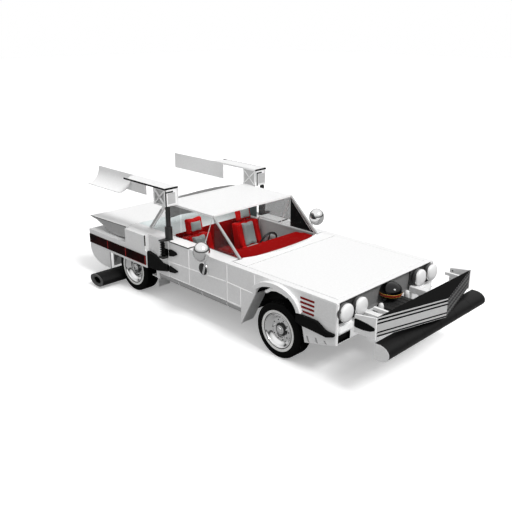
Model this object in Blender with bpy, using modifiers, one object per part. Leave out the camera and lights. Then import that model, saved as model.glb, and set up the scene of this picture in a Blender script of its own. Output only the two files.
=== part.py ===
"""Winged coupe with a plough bumper, deep-dish wheels and roof-height wing arms.

Metres, +Z up, nose towards +X, left side towards +Y, standing on z = 0.
"""
import math

import bmesh
import bpy
from mathutils import Matrix, Vector

# Driving sizes of the wheels
TYRE_RADIUS = 0.320
TYRE_WIDTH = 0.210
RIM_RADIUS = 0.200
RIM_WALL = 0.014
RIM_DISC = 0.012
HUB_BORE = 0.0225
HUB_INNER = 0.028
HUB_SEAT = 0.059
SPINDLE_RADIUS = 0.0200
AXLE_SEAT = 0.0005
TRACK_HALF = 0.830
FRONT_AXLE_X = 1.185
REAR_AXLE_X = -1.538
WHEEL_STEPS = 36
ARM_HEIGHT = 0.030
ARM_HALF = 0.022
POST_RADIUS = 0.020
POST_HALF = 0.070

# Driving sizes of the body
SIDE_Y = 0.892
PANEL = 0.030
SHOULDER_Z = 0.875
SILL_Z = 0.300
NOSE_X = 1.950
CORNER_Z = 0.406
TAIL_X = -2.660
POD_TAIL_X = -2.575
FIT_GAP = 0.0004
STEP = 0.001
SHUT_GAP = 0.006

# Doors
DOOR_FRONT_X = 0.317
DOOR_REAR_X = -0.760
DOOR_BOTTOM_Z = 0.390
DOOR_INNER_Y = 0.690
DOOR_REAR_BEVEL = 0.034
DOOR_HINGE_Z = (0.500, 0.760)
MIRROR_RADII = (0.096, 0.096, 0.108)

# Canopy
ROOF_FRONT_X = -0.120
ROOF_REAR_X = -1.050
ROOF_Z = 1.318
ROOF_HALF = 0.705
ROOF_PLATE = 0.026
ROOF_EDGE = 0.026
ROOF_EDGE_DROP = 0.006
ROOF_LIP_RISE = 0.034
ROOF_LIP_HALF = 0.600
ROOF_LIP_PLATE = 0.014
PILLAR_FOOT_X = 0.365
COWL_REAR_X = PILLAR_FOOT_X - 0.020
CANOPY_TAIL_X = -1.440
PILLAR = 0.036
PILLAR_DEPTH = 0.028
TAIL_PILLAR = 0.060
RAIL_Z = ROOF_Z - ROOF_PLATE - 0.006
GLASS = 0.006
SCREEN_BOW = 0.135

# Hood and front end
HOOD_REAR_X = 0.560
FENDER_LEDGE = 0.092
HOOD_HALF = SIDE_Y - FENDER_LEDGE
RECESS_DEPTH = 0.045
FASCIA_PLATE = 0.020
FASCIA_BACK_X = NOSE_X - RECESS_DEPTH - FASCIA_PLATE
HOOD_FRONT_X = FASCIA_BACK_X - SHUT_GAP
LAMP_RADIUS = 0.100
LAMP_OUTER_Y = 0.797
LAMP_INNER_Y = 0.557
LAMP_Z = 0.762
LAMP_BACK_X = NOSE_X + 0.002
LAMP_FACE_X = NOSE_X + 0.060
LENS_BULGE = 0.034
DOME_RADIUS = 0.128
DOME_Z = 0.760

# Front wheel arch, as an ellipse over a slanted rear edge
ARCH_X = 1.130
ARCH_Z = 0.600
ARCH_HALF = 0.335
ARCH_RISE = 0.215
ARCH_FOOT_X = 0.567
ARCH_FOOT_Z = 0.183
ARCH_FRONT_X = 1.540
ARCH_FRONT_Z = 0.296
ARCH_RETURN = 0.200
FLARE_BAND = 0.048
FLARE_OUT = 0.055

# Openings in the front fender and nose
LOUVRE_X = (1.506, 1.660)
LOUVRE_TOP_Z = 0.804
LOUVRE_PITCH = 0.049
LOUVRE_HIGH = 0.016
LOUVRE_COUNT = 4
VALANCE_SLOTS = ((1.580, 0.330, 0.385), (1.695, 0.360, 0.405), (1.812, 0.388, 0.412))
VALANCE_SLOT_WIDE = 0.018
SLOT_DEPTH = 0.010
NOSE_POCKET_Y = (0.648, 0.850)
NOSE_POCKET_Z = (0.414, 0.502)
NOSE_POCKET_DEPTH = 0.025

# Plough bumper and the bar below it
PLOUGH_BACK_X = 2.420
PLOUGH_TIP_X = 2.660
PLOUGH_HALF = 0.908
PLOUGH_TOP_Z = 0.880
PLOUGH_BOTTOM_Z = 0.670
PLOUGH_GROOVE_DEPTH = 0.012
PLOUGH_GROOVES = ((0.843, 0.862), (0.806, 0.823), (0.712, 0.727), (0.674, 0.690))
END_PLATE_X = 2.180
END_PLATE_DROP = 0.038
STRUT_REAR_X = 2.240
STRUT_Y = (0.662, 0.692)
STRUT_Z = (0.835, 0.870)
BAR_HALF = 0.938
BAR_BACK_X = 2.450
BAR_FRONT_X = 2.620
BAR_BOTTOM_Z = 0.468
BAR_TOP_Z = 0.641

# Rear pods, deck and lid
POD_Y = 0.965
POD_SKIN = 0.022
POD_TOP_Z = 0.668
POD_PLATE = 0.016
POD_FRONT_X = -1.170
POD_BOTTOM_Z = 0.430
REAR_ARCH_REAR_X = -2.070
FAIRING_X = (-1.640, -1.190)
DEFLECTOR_X = -1.170
DEFLECTOR_Y = (0.600, 0.790)
DEFLECTOR_LOW_Z = 0.110
DEFLECTOR_PLATE = 0.012
GUARD_REACH = 0.066
GUARD_TIP_REACH = 0.026
GUARD_FRONT_X = -0.775
SKIRT_Z = 0.180
SKIRT_RUN = 0.140
SKIRT_RISE = 0.220
WALL_REAR_X = -1.710
WHEELHOUSE_Y = 0.660
LID_TAIL_X = -2.630
LID_TOP_Z = 0.866
LID_TAIL_Z = 0.842
LID_PIN_Z = 0.858
LAMP_STRIP_LOW = 0.470
LAMP_STRIP_HIGH = 0.600
PIPE_X = -1.970
PIPE_Z = 0.112
PIPE_HALF_LENGTH = 1.260
PIPE_HALF_WIDE = 0.140
PIPE_HALF_HIGH = 0.078
PIPE_WALL = 0.022
PIPE_BORE_DEPTH = 0.130

# Masts and wings
MAST_X = -0.820
MAST_Y = 0.842
MAST_LOW_RADIUS = 0.048
MAST_MID_RADIUS = 0.0315
MAST_TOP_RADIUS = 0.019
MAST_STEP_1_Z = 1.050
MAST_STEP_2_Z = 1.306
SPRING_Y = 0.950
SPRING_RADIUS = 0.035
SPRING_WAIST = 0.027
SPRING_COILS = 5
SPRING_BASE_Z = (0.655, 0.685)
SPRING_HEAD_Z = (0.882, 0.900)
SPRING_PLATE = 0.045
ARM_FRONT_X = -0.800
ARM_REAR_X = -1.710
ARM_RISE = 0.237
ARM_TOP_Z = ROOF_Z + ARM_RISE
ARM_PLATE = 0.022
ARM_INNER_Y = 0.685
ARM_OUTER_Y = 0.890
PORTAL_REAR_X = -1.040
PORTAL_RAIL = 0.024
PORTAL_WALL = 0.015
BRACE_HALF = 0.009
BLADE_FRONT_X = -1.476
BLADE_MID_X = -1.813
BLADE_REAR_X = -2.620
BLADE_TOP_Z = ARM_TOP_Z - 0.025
BLADE_RISE = 0.222
BLADE_LOW_Z = BLADE_TOP_Z - BLADE_RISE
BLADE_PLATE = 0.012

# Cabin and drive line
FLOOR_Z = 0.285
FLOOR_PLATE = 0.030
BOOT_FLOOR_Z = 0.485
BULKHEAD_X = -0.970
SHEET = 0.020
APRON_Y = 0.550
SEAT_Y = 0.440
SEAT_HALF = 0.200
HEADREST_HALF = 0.125
DASH_BOW = 0.070
DASH_BOW_HALF = 0.600
DASH_REAR_X = 0.050
DASH_PAD_Z = (0.840, 0.868)
DASH_HALF = 0.660
COLUMN_Y = 0.370
WHEEL_RING_RADIUS = 0.175
ENGINE_FRONT_X = 1.500
ENGINE_REAR_X = 0.740
ENGINE_HALF = 0.300
ENGINE_TOP_Z = 0.780
ENGINE_LOW_Z = 0.380


def clear_scene():
    for old in list(bpy.data.objects):
        bpy.data.objects.remove(old, do_unlink=True)


def new_collection(name):
    collection = bpy.data.collections.new(name)
    bpy.context.scene.collection.children.link(collection)
    return collection


def principled(name, colour, roughness, metallic=0.0, alpha=1.0):
    material = bpy.data.materials.new(name)
    material.use_nodes = True
    shader = material.node_tree.nodes["Principled BSDF"]
    shader.inputs["Base Color"].default_value = (*colour, 1.0)
    shader.inputs["Roughness"].default_value = roughness
    shader.inputs["Metallic"].default_value = metallic
    shader.inputs["Alpha"].default_value = alpha
    return material


clear_scene()
PARTS = new_collection("coupe")
CUTTERS = new_collection("coupe_cutters")

PAINTS = {
    "white": ((0.80, 0.80, 0.80), 0.35, 0.0, 1.0),
    "grey": ((0.10, 0.10, 0.10), 0.50, 0.0, 1.0),
    "black": ((0.01, 0.01, 0.01), 0.45, 0.0, 1.0),
    "rubber": ((0.012, 0.012, 0.012), 0.80, 0.0, 1.0),
    "chrome": ((0.60, 0.60, 0.60), 0.12, 1.0, 1.0),
    "glass": ((0.60, 0.66, 0.66), 0.05, 0.0, 0.35),
    "lens": ((0.90, 0.90, 0.90), 0.10, 0.0, 1.0),
    "red_lens": ((0.05, 0.0, 0.0), 0.15, 0.0, 1.0),
    "red_trim": ((0.50, 0.0, 0.0), 0.60, 0.0, 1.0),
    "steel": ((0.25, 0.25, 0.25), 0.45, 1.0, 1.0),
}


def place(obj, name, paint):
    """Name a finished piece, give it its own material and put it with the parts."""
    obj.name = name
    obj.data.name = name
    colour, roughness, metallic, alpha = PAINTS[paint]
    obj.data.materials.clear()
    obj.data.materials.append(principled(name + "_" + paint, colour, roughness, metallic, alpha))
    PARTS.objects.link(obj)
    return obj


def loose(mesh, name="shape"):
    return bpy.data.objects.new(name, mesh)


def from_bmesh(bm):
    bmesh.ops.recalc_face_normals(bm, faces=bm.faces)
    mesh = bpy.data.meshes.new("shape")
    bm.to_mesh(mesh)
    bm.free()
    return loose(mesh)


def block(low, high, bevel=0.0):
    """A box between two corners, with all edges rounded by a bevel where asked."""
    bm = bmesh.new()
    bmesh.ops.create_cube(bm, size=1.0)
    size = [abs(b - a) for a, b in zip(low, high)]
    centre = [(a + b) / 2 for a, b in zip(low, high)]
    bmesh.ops.scale(bm, vec=size, verts=bm.verts)
    bmesh.ops.translate(bm, vec=centre, verts=bm.verts)
    if bevel:
        bmesh.ops.bevel(bm, geom=bm.edges[:], offset=bevel, offset_type="OFFSET", segments=2,
                        profile=0.5, affect="EDGES", material=-1)
    return from_bmesh(bm)


def round_bar(start, end, radius, end_radius=None, segments=20):
    """A closed cylinder or cone between two points."""
    start, end = Vector(start), Vector(end)
    way = end - start
    bm = bmesh.new()
    bmesh.ops.create_cone(bm, cap_ends=True, segments=segments, radius1=radius,
                          radius2=radius if end_radius is None else end_radius, depth=way.length)
    turn = way.to_track_quat("Z", "Y").to_matrix().to_4x4()
    bmesh.ops.transform(bm, matrix=Matrix.Translation((start + end) / 2) @ turn, verts=bm.verts)
    return from_bmesh(bm)


def ball(centre, radii, segments=24, rings=12):
    bm = bmesh.new()
    bmesh.ops.create_uvsphere(bm, u_segments=segments, v_segments=rings, radius=1.0)
    bmesh.ops.scale(bm, vec=radii, verts=bm.verts)
    bmesh.ops.translate(bm, vec=centre, verts=bm.verts)
    return from_bmesh(bm)


AXES = {
    "xz": Matrix(((1, 0, 0, 0), (0, 0, -1, 0), (0, 1, 0, 0), (0, 0, 0, 1))),
    "yz": Matrix(((0, 0, 1, 0), (1, 0, 0, 0), (0, 1, 0, 0), (0, 0, 0, 1))),
    "xy": Matrix.Identity(4),
}


def curve_to_mesh(curve, matrix):
    """Turn a filled curve into a welded closed mesh object with the curve's place."""
    source = bpy.data.objects.new("outline", curve)
    bpy.context.scene.collection.objects.link(source)
    source.matrix_world = matrix
    bpy.context.view_layer.update()
    graph = bpy.context.evaluated_depsgraph_get()
    mesh = bpy.data.meshes.new_from_object(source.evaluated_get(graph))
    bpy.data.objects.remove(source)
    bm = bmesh.new()
    bm.from_mesh(mesh)
    bmesh.ops.remove_doubles(bm, verts=bm.verts, dist=0.00002)
    bmesh.ops.transform(bm, matrix=matrix, verts=bm.verts)
    return from_bmesh(bm)


def plate(plane, outline, low, high, holes=()):
    """A flat outline with optional holes, as thick as from low to high across its plane."""
    curve = bpy.data.curves.new("outline", "CURVE")
    curve.dimensions = "2D"
    curve.fill_mode = "BOTH"
    curve.extrude = abs(high - low) / 2
    for points in (outline, *holes):
        spline = curve.splines.new("POLY")
        spline.points.add(len(points) - 1)
        for point, (across, up) in zip(spline.points, points):
            point.co = (across, up, 0.0, 1.0)
        spline.use_cyclic_u = True
    middle = (low + high) / 2
    offset = {"xz": (0, middle, 0), "yz": (middle, 0, 0), "xy": (0, 0, middle)}[plane]
    return curve_to_mesh(curve, Matrix.Translation(offset) @ AXES[plane])


def tube(points, radius, rings=3, cyclic=False):
    """A round wire or tube along points, with closed ends."""
    curve = bpy.data.curves.new("wire", "CURVE")
    curve.dimensions = "3D"
    curve.bevel_depth = radius
    curve.bevel_resolution = rings
    curve.use_fill_caps = True
    spline = curve.splines.new("POLY")
    spline.points.add(len(points) - 1)
    for point, place_at in zip(spline.points, points):
        point.co = (*place_at, 1.0)
    spline.use_cyclic_u = cyclic
    return curve_to_mesh(curve, Matrix.Identity(4))


def turned(profile, centre, side=0, steps=WHEEL_STEPS, closed=False):
    """A turned shape from (radius, height) points; side -1 or 1 lays its axis along Y outwards."""
    mesh = bpy.data.meshes.new("profile")
    bm = bmesh.new()
    verts = [bm.verts.new((radius, 0.0, height)) for radius, height in profile]
    for first, second in zip(verts, verts[1:]):
        bm.edges.new((first, second))
    if closed:
        bm.edges.new((verts[-1], verts[0]))
    bm.to_mesh(mesh)
    bm.free()
    obj = loose(mesh)
    screw = obj.modifiers.new("turn", "SCREW")
    screw.axis = "Z"
    screw.steps = steps
    screw.render_steps = steps
    screw.use_merge_vertices = True
    screw.merge_threshold = 0.0001
    obj.location = centre
    obj.rotation_euler = (-side * math.pi / 2, 0.0, 0.0)
    return obj


def boolean(target, tool, operation):
    """Join a tool to a target or cut it out; the tool stays as a hidden wire guide."""
    CUTTERS.objects.link(tool)
    tool.hide_render = True
    tool.display_type = "WIRE"
    modifier = target.modifiers.new(operation.lower(), "BOOLEAN")
    modifier.operation = operation
    modifier.solver = "EXACT"
    modifier.object = tool
    return target


def join(target, *tools):
    for tool in tools:
        boolean(target, tool, "UNION")
    return target


def cut(target, *tools):
    for tool in tools:
        boolean(target, tool, "DIFFERENCE")
    return target


def pivot(name, at, *pieces):
    """An empty on a joint's axis that carries the pieces which move about it."""
    empty = bpy.data.objects.new(name, None)
    empty.empty_display_size = 0.05
    empty.location = at
    PARTS.objects.link(empty)
    bpy.context.view_layer.update()
    for piece in pieces:
        piece.parent = empty
        piece.matrix_parent_inverse = empty.matrix_world.inverted()
    return empty


def ellipse(centre, half, rise, start, end, count):
    """Points on an ellipse from one angle to another, in degrees."""
    points = []
    for step in range(count + 1):
        angle = math.radians(start + (end - start) * step / count)
        points.append((centre[0] + half * math.cos(angle), centre[1] + rise * math.sin(angle)))
    return points


def between(low, high, share):
    return low + (high - low) * share


def span(side, inner, outer):
    """Low and high Y of a piece between two distances from the middle, on one side."""
    return sorted((side * inner, side * outer))


def side_block(side, x, inner, outer, z, bevel=0.0):
    low_y, high_y = span(side, inner, outer)
    return block((x[0], low_y, z[0]), (x[1], high_y, z[1]), bevel)


SIDES = {"right": -1, "left": 1}


# Wheels, hubs and axles

def tyre(name, x, side):
    half = TYRE_WIDTH / 2
    bead = RIM_RADIUS + FIT_GAP
    tread = half * 0.80
    side_wall = TYRE_RADIUS - 0.055
    profile = [(bead, half * 0.86), (RIM_RADIUS + 0.025, half * 0.97), (side_wall, half)]
    profile += [(TYRE_RADIUS - 0.022, half * 0.95), (TYRE_RADIUS - 0.006, half * 0.88)]
    profile += [(TYRE_RADIUS, tread)]
    profile += [(radius, -height) for radius, height in reversed(profile)]
    body = turned(profile, (x, side * TRACK_HALF, TYRE_RADIUS), side, closed=True)
    return place(body, name, "rubber")


def rim(name, x, side):
    half = TYRE_WIDTH / 2
    barrel = RIM_RADIUS - RIM_WALL
    face = half * 0.45
    profile = [(0.0, face + 0.036), (0.034, face + 0.034), (0.064, face + 0.012), (0.070, face - 0.006)]
    profile += [(0.100, face + 0.004), (0.136, face), (0.168, half * 0.72), (RIM_RADIUS - 0.008, half * 0.96)]
    profile += [(RIM_RADIUS, half * 0.96), (RIM_RADIUS, -half * 0.96), (barrel, -half * 0.96)]
    profile += [(barrel - 0.002, half * 0.44), (0.136, face - RIM_DISC), (0.056, face - RIM_DISC)]
    profile += [(0.056, HUB_INNER), (HUB_BORE, HUB_INNER), (HUB_BORE, HUB_SEAT), (0.0, HUB_SEAT)]
    body = turned(profile, (x, side * TRACK_HALF, TYRE_RADIUS), side)
    return place(body, name, "chrome")


def knuckle(name, side):
    """An upright on the steering axis, with a spindle that the wheel turns on."""
    axle = Vector((FRONT_AXLE_X, side * TRACK_HALF, TYRE_RADIUS))
    rise = Vector((0.0, 0.0, POST_HALF))
    post = round_bar(axle - rise, axle + rise, POST_RADIUS)
    spindle = round_bar(axle, axle + Vector((0.0, side * (HUB_SEAT - AXLE_SEAT), 0.0)), SPINDLE_RADIUS)
    return place(join(post, spindle), name, "steel")


def front_subframe():
    low_z, high_z = TYRE_RADIUS - 0.110, TYRE_RADIUS - 0.060
    beam = block((FRONT_AXLE_X - 0.06, -APRON_Y, low_z), (FRONT_AXLE_X + 0.06, APRON_Y, high_z))
    for side in SIDES.values():
        tower = side_block(side, (FRONT_AXLE_X - 0.05, FRONT_AXLE_X + 0.05), 0.44,
                           APRON_Y - SHEET - FIT_GAP, (high_z - 0.01, TYRE_RADIUS + 0.140))
        join(beam, tower)
        for arm_low in (TYRE_RADIUS - POST_HALF - AXLE_SEAT - ARM_HEIGHT,
                        TYRE_RADIUS + POST_HALF + AXLE_SEAT):
            arm = side_block(side, (FRONT_AXLE_X - ARM_HALF, FRONT_AXLE_X + ARM_HALF), 0.50,
                             TRACK_HALF + 0.016, (arm_low, arm_low + ARM_HEIGHT))
            join(beam, arm)
    return place(beam, "front_subframe", "black")


def rear_axle():
    tip = TRACK_HALF + HUB_SEAT - AXLE_SEAT
    shaft = round_bar((REAR_AXLE_X, -tip, TYRE_RADIUS), (REAR_AXLE_X, tip, TYRE_RADIUS), SPINDLE_RADIUS)
    housing = round_bar((REAR_AXLE_X, -0.70, TYRE_RADIUS), (REAR_AXLE_X, 0.70, TYRE_RADIUS), 0.038)
    differential = ball((REAR_AXLE_X, 0.0, TYRE_RADIUS), (0.14, 0.12, 0.13), 16, 10)
    join(shaft, housing, differential)
    for side in SIDES.values():
        perch = side_block(side, (REAR_AXLE_X - 0.03, REAR_AXLE_X + 0.03), 0.44, 0.52,
                           (TYRE_RADIUS - 0.01, BOOT_FLOOR_Z - FIT_GAP))
        join(shaft, perch)
    return place(shaft, "rear_axle", "steel")


# Front end

def arch_opening(grow=0.0):
    """The front arch in side view, from its slanted rear foot over the top to its front foot."""
    top = ellipse((ARCH_X, ARCH_Z), ARCH_HALF + grow, ARCH_RISE + grow, 175, 5, 14)
    return [(ARCH_FOOT_X - grow, ARCH_FOOT_Z)] + top + [(ARCH_FRONT_X + grow, ARCH_FRONT_Z)]


def front_fender(name, side):
    rear_x = DOOR_FRONT_X + SHUT_GAP
    outline = [(rear_x, SHOULDER_Z), (rear_x, SILL_Z + 0.084), (ARCH_FOOT_X - 0.003, SILL_Z + 0.084)]
    outline += [(ARCH_FOOT_X - 0.003, ARCH_FOOT_Z)]
    outline += arch_opening()
    outline += [(1.74, 0.346), (1.86, 0.377), (NOSE_X, CORNER_Z), (NOSE_X, SHOULDER_Z)]
    low_y, high_y = span(side, SIDE_Y - PANEL, SIDE_Y)
    skin = plate("xz", outline, low_y, high_y)
    ledge = side_block(side, (rear_x + STEP, FASCIA_BACK_X - FIT_GAP), HOOD_HALF + SHUT_GAP, SIDE_Y - 0.01,
                       (SHOULDER_Z - PANEL, SHOULDER_Z - STEP))
    foot, head = Vector(arch_opening()[0]), Vector(arch_opening()[1])
    run = (head - foot).normalized()
    back = Vector((-run.y, run.x))
    edge = [foot + back * 0.003 + run * 0.006, head + back * 0.003, head + back * 0.019,
            foot + back * 0.019 + run * 0.016]
    return_face = plate("xz", edge, *span(side, SIDE_Y - ARCH_RETURN, SIDE_Y - 0.004))
    join(skin, ledge, return_face)
    outer = ellipse((ARCH_X, ARCH_Z), ARCH_HALF + FLARE_BAND, ARCH_RISE + FLARE_BAND, 150, 8, 14)
    inner = ellipse((ARCH_X, ARCH_Z), ARCH_HALF - 0.006, ARCH_RISE - 0.006, 8, 150, 14)
    flare = plate("xz", outer + inner, *span(side, SIDE_Y - 0.02, SIDE_Y + FLARE_OUT))
    join(skin, flare)
    for row in range(LOUVRE_COUNT):
        low_z = LOUVRE_TOP_Z - row * LOUVRE_PITCH
        cut(skin, side_block(side, LOUVRE_X, SIDE_Y - SLOT_DEPTH, SIDE_Y + STEP, (low_z - LOUVRE_HIGH, low_z)))
    for slot_x, low_z, high_z in VALANCE_SLOTS:
        half = VALANCE_SLOT_WIDE / 2
        cut(skin, side_block(side, (slot_x - half, slot_x + half), SIDE_Y - SLOT_DEPTH, SIDE_Y + STEP,
                             (low_z, high_z)))
    return place(skin, name, "white")


def dash_bow(gap):
    """Half an ellipse in plan view, where the dash runs forward under the bowed screen."""
    return ellipse((COWL_REAR_X - STEP, 0.0), DASH_BOW - gap, DASH_BOW_HALF - gap, -90, 90, 14)


def engine_bay():
    """Firewall, cowl, door posts and the inner aprons, welded as one."""
    half = DOOR_INNER_Y - FIT_GAP
    top = SHOULDER_Z - PANEL
    wall = block((HOOD_REAR_X - SHEET, -half, FLOOR_Z + FLOOR_PLATE + FIT_GAP), (HOOD_REAR_X, half, top - FIT_GAP))
    cowl = block((COWL_REAR_X, -HOOD_HALF, top - 0.02),
                 (HOOD_REAR_X - SHUT_GAP, HOOD_HALF, SHOULDER_Z))
    cut(cowl, plate("xy", dash_bow(0.0), top - 0.03, SHOULDER_Z + 0.01))
    join(wall, cowl)
    apron_low = TYRE_RADIUS + POST_HALF + ARM_HEIGHT + 0.012
    for side in SIDES.values():
        post = side_block(side, (DOOR_FRONT_X + SHUT_GAP, HOOD_REAR_X - 0.01), DOOR_INNER_Y - 0.02,
                          SIDE_Y - PANEL - FIT_GAP, (SILL_Z + 0.085, top - FIT_GAP))
        apron = side_block(side, (HOOD_REAR_X - 0.01, FASCIA_BACK_X - FIT_GAP),
                           APRON_Y - SHEET, APRON_Y, (apron_low, top - SHUT_GAP))
        join(wall, post, apron)
        for hinge_z in DOOR_HINGE_Z:
            leaf = side_block(side, (DOOR_FRONT_X + FIT_GAP, DOOR_FRONT_X + 0.03), SIDE_Y - 0.060,
                              SIDE_Y - PANEL - 0.004, (hinge_z - 0.03, hinge_z + 0.03))
            join(wall, leaf)
    return place(wall, "engine_bay", "black")


def front_fascia():
    half = SIDE_Y - PANEL - FIT_GAP
    recess_x = NOSE_X - RECESS_DEPTH
    top = SHOULDER_Z - FIT_GAP
    recess = block((FASCIA_BACK_X, -half, 0.50), (recess_x, half, top))
    lower = block((FASCIA_BACK_X, -half, CORNER_Z), (NOSE_X, half, 0.632))
    lip = block((FASCIA_BACK_X, -half, top - 0.012), (NOSE_X, half, top))
    join(recess, lower, lip)
    for side in SIDES.values():
        pocket = side_block(side, (NOSE_X - NOSE_POCKET_DEPTH, NOSE_X + STEP), *NOSE_POCKET_Y, NOSE_POCKET_Z)
        cut(recess, pocket)
        strip = side_block(side, (FASCIA_BACK_X, NOSE_X), half - 0.014, half, (0.60, top))
        join(recess, strip)
    return place(recess, "front_fascia", "white")


def headlamps(name, side):
    """A pair of round lamps that stand proud of the nose, on one bezel in the recess."""
    back = NOSE_X - RECESS_DEPTH + FIT_GAP
    bezel = side_block(side, (back, back + 0.02), LAMP_INNER_Y - 0.09, LAMP_OUTER_Y + 0.04,
                       (LAMP_Z - 0.088, LAMP_Z + 0.088))
    for lamp_y in (LAMP_INNER_Y, LAMP_OUTER_Y):
        stem = LAMP_RADIUS * 0.40
        profile = [(0.0, LAMP_FACE_X + LENS_BULGE)]
        profile += [(LAMP_RADIUS * math.sin(turn), LAMP_FACE_X + LENS_BULGE * math.cos(turn))
                    for turn in (0.45, 0.90, 1.25, math.pi / 2)]
        profile += [(LAMP_RADIUS, LAMP_BACK_X), (stem, LAMP_BACK_X), (stem, back + 0.005), (0.0, back + 0.005)]
        lamp = turned(profile, (0.0, side * lamp_y, LAMP_Z), steps=24)
        lamp.rotation_euler = (0.0, math.pi / 2, 0.0)
        join(bezel, lamp)
    return place(bezel, name, "lens")


def nose_dome():
    back = NOSE_X - RECESS_DEPTH + FIT_GAP
    dome = ball((back + DOME_RADIUS * 0.6, 0.0, DOME_Z), (DOME_RADIUS, DOME_RADIUS, DOME_RADIUS * 0.78), 28, 14)
    trim = block((back - 0.2, -0.3, DOME_Z - 0.3), (back, 0.3, DOME_Z + 0.3))
    cut(dome, trim)
    return place(dome, "nose_dome", "black")


def nose_duct():
    back = NOSE_X + FIT_GAP
    top = 0.652
    horn_x = NOSE_X + 0.085
    duct = block((back, -0.20, 0.58), (PLOUGH_BACK_X - FIT_GAP, 0.20, top))
    for side in SIDES.values():
        horn = round_bar((horn_x, side * 0.245, 0.585), (horn_x, side * 0.245, top + 0.06), 0.032)
        bracket = side_block(side, (back, horn_x), 0.18, 0.26, (0.59, 0.62))
        join(duct, bracket, horn)
    return place(duct, "nose_duct", "grey")


def plough_band(depth):
    """Plan view of the skin of both slanted front faces, as deep as a groove."""
    run = math.hypot(PLOUGH_TIP_X - PLOUGH_BACK_X, PLOUGH_HALF)
    back = depth * run / PLOUGH_HALF
    ends = PLOUGH_HALF - STEP
    front = [(PLOUGH_BACK_X + 0.03, -ends), (PLOUGH_TIP_X + 0.03, 0.0), (PLOUGH_BACK_X + 0.03, ends)]
    return front + [(PLOUGH_BACK_X - back, ends), (PLOUGH_TIP_X - back, 0.0), (PLOUGH_BACK_X - back, -ends)]


def plough_bumper():
    """A wedge-shaped blade with grooved faces, end plates, two low rails and two high stubs."""
    outline = [(PLOUGH_BACK_X, -PLOUGH_HALF), (PLOUGH_TIP_X, 0.0), (PLOUGH_BACK_X, PLOUGH_HALF)]
    wedge = plate("xy", outline, PLOUGH_BOTTOM_Z, PLOUGH_TOP_Z)
    end_front = PLOUGH_BACK_X + 0.01
    end_low, end_high = PLOUGH_BOTTOM_Z - 0.018, PLOUGH_TOP_Z - STEP
    end_outline = [(END_PLATE_X, end_low), (end_front, end_low), (end_front, end_high),
                   (END_PLATE_X, end_high - END_PLATE_DROP)]
    for side in SIDES.values():
        end = plate("xz", end_outline, *span(side, PLOUGH_HALF - 0.022, PLOUGH_HALF - STEP))
        rail = side_block(side, (NOSE_X + FIT_GAP, end_front), 0.42, 0.50,
                          (PLOUGH_BOTTOM_Z - 0.06, PLOUGH_BOTTOM_Z + 0.01))
        strut = side_block(side, (STRUT_REAR_X, end_front), *STRUT_Y, STRUT_Z)
        join(wedge, end, rail, strut)
    for low_z, high_z in PLOUGH_GROOVES:
        cut(wedge, plate("xy", plough_band(PLOUGH_GROOVE_DEPTH), low_z, high_z))
    return place(wedge, "plough_bumper", "grey")


def front_bar():
    middle = (BAR_BOTTOM_Z + BAR_TOP_Z) / 2
    half = (BAR_TOP_Z - BAR_BOTTOM_Z) / 2
    nose = ellipse((BAR_BACK_X + 0.05, middle), BAR_FRONT_X - BAR_BACK_X - 0.05, half, -90, 90, 12)
    bar = plate("xz", [(BAR_BACK_X, BAR_TOP_Z), (BAR_BACK_X, BAR_BOTTOM_Z)] + nose, -BAR_HALF, BAR_HALF)
    for side in SIDES.values():
        bracket = side_block(side, (NOSE_X + FIT_GAP, BAR_BACK_X + 0.02), 0.30, 0.34, (0.50, 0.56))
        join(bar, bracket)
    return place(bar, "front_bar", "rubber")


def side_guard(name, side):
    outline = [(1.463, 0.625), (1.722, 0.631), (1.799, 0.570), (1.937, 0.547), (1.840, 0.480), (1.643, 0.475),
               (1.552, 0.500)]
    body = plate("xz", outline, *span(side, SIDE_Y + FIT_GAP, SIDE_Y + 0.03))
    return place(body, name, "black")


def hood():
    lid = block((HOOD_REAR_X, -HOOD_HALF, SHOULDER_Z - PANEL), (HOOD_FRONT_X, HOOD_HALF, SHOULDER_Z))
    return place(lid, "hood", "white")


# Middle of the body

def sill(name, side):
    low_y, high_y = DOOR_INNER_Y, SIDE_Y
    top = DOOR_BOTTOM_Z - SHUT_GAP
    lower = ellipse((high_y - 0.07, top - 0.01), 0.07, top - 0.01 - SILL_Z, 0, -90, 6)
    outline = [(side * y, z) for y, z in [(low_y, SILL_Z), (low_y, top), (high_y, top)] + lower]
    body = plate("yz", outline, -1.0, ARCH_FOOT_X - 0.004)
    return place(body, name, "white")


def floor_pan():
    half = DOOR_INNER_Y - FIT_GAP
    cabin = block((BULKHEAD_X - 0.01, -half, FLOOR_Z), (HOOD_REAR_X, half, FLOOR_Z + FLOOR_PLATE))
    step = block((BULKHEAD_X - 0.03, -0.64, FLOOR_Z), (BULKHEAD_X, 0.64, BOOT_FLOOR_Z + SHEET))
    boot = block((TAIL_X + 0.03, -0.64, BOOT_FLOOR_Z), (BULKHEAD_X - 0.01, 0.64, BOOT_FLOOR_Z + SHEET))
    tunnel = block((BULKHEAD_X + SHEET + FIT_GAP, -0.09, FLOOR_Z + 0.01), (HOOD_REAR_X - 0.03, 0.09, FLOOR_Z + 0.17))
    join(cabin, step, boot, tunnel)
    return place(cabin, "floor_pan", "black")


def door(name, side):
    bevel_x = DOOR_REAR_X + DOOR_REAR_BEVEL
    outline = [(DOOR_FRONT_X, side * SIDE_Y), (DOOR_REAR_X, side * SIDE_Y), (bevel_x, side * DOOR_INNER_Y),
               (DOOR_FRONT_X, side * DOOR_INNER_Y)]
    body = plate("xy", outline, DOOR_BOTTOM_Z, SHOULDER_Z)
    return place(body, name, "white")


def pillar_x(z):
    """Front edge of the canopy in side view at a height."""
    share = (z - SHOULDER_Z) / (ROOF_Z - SHOULDER_Z)
    return between(PILLAR_FOOT_X, ROOF_FRONT_X, share)


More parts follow.
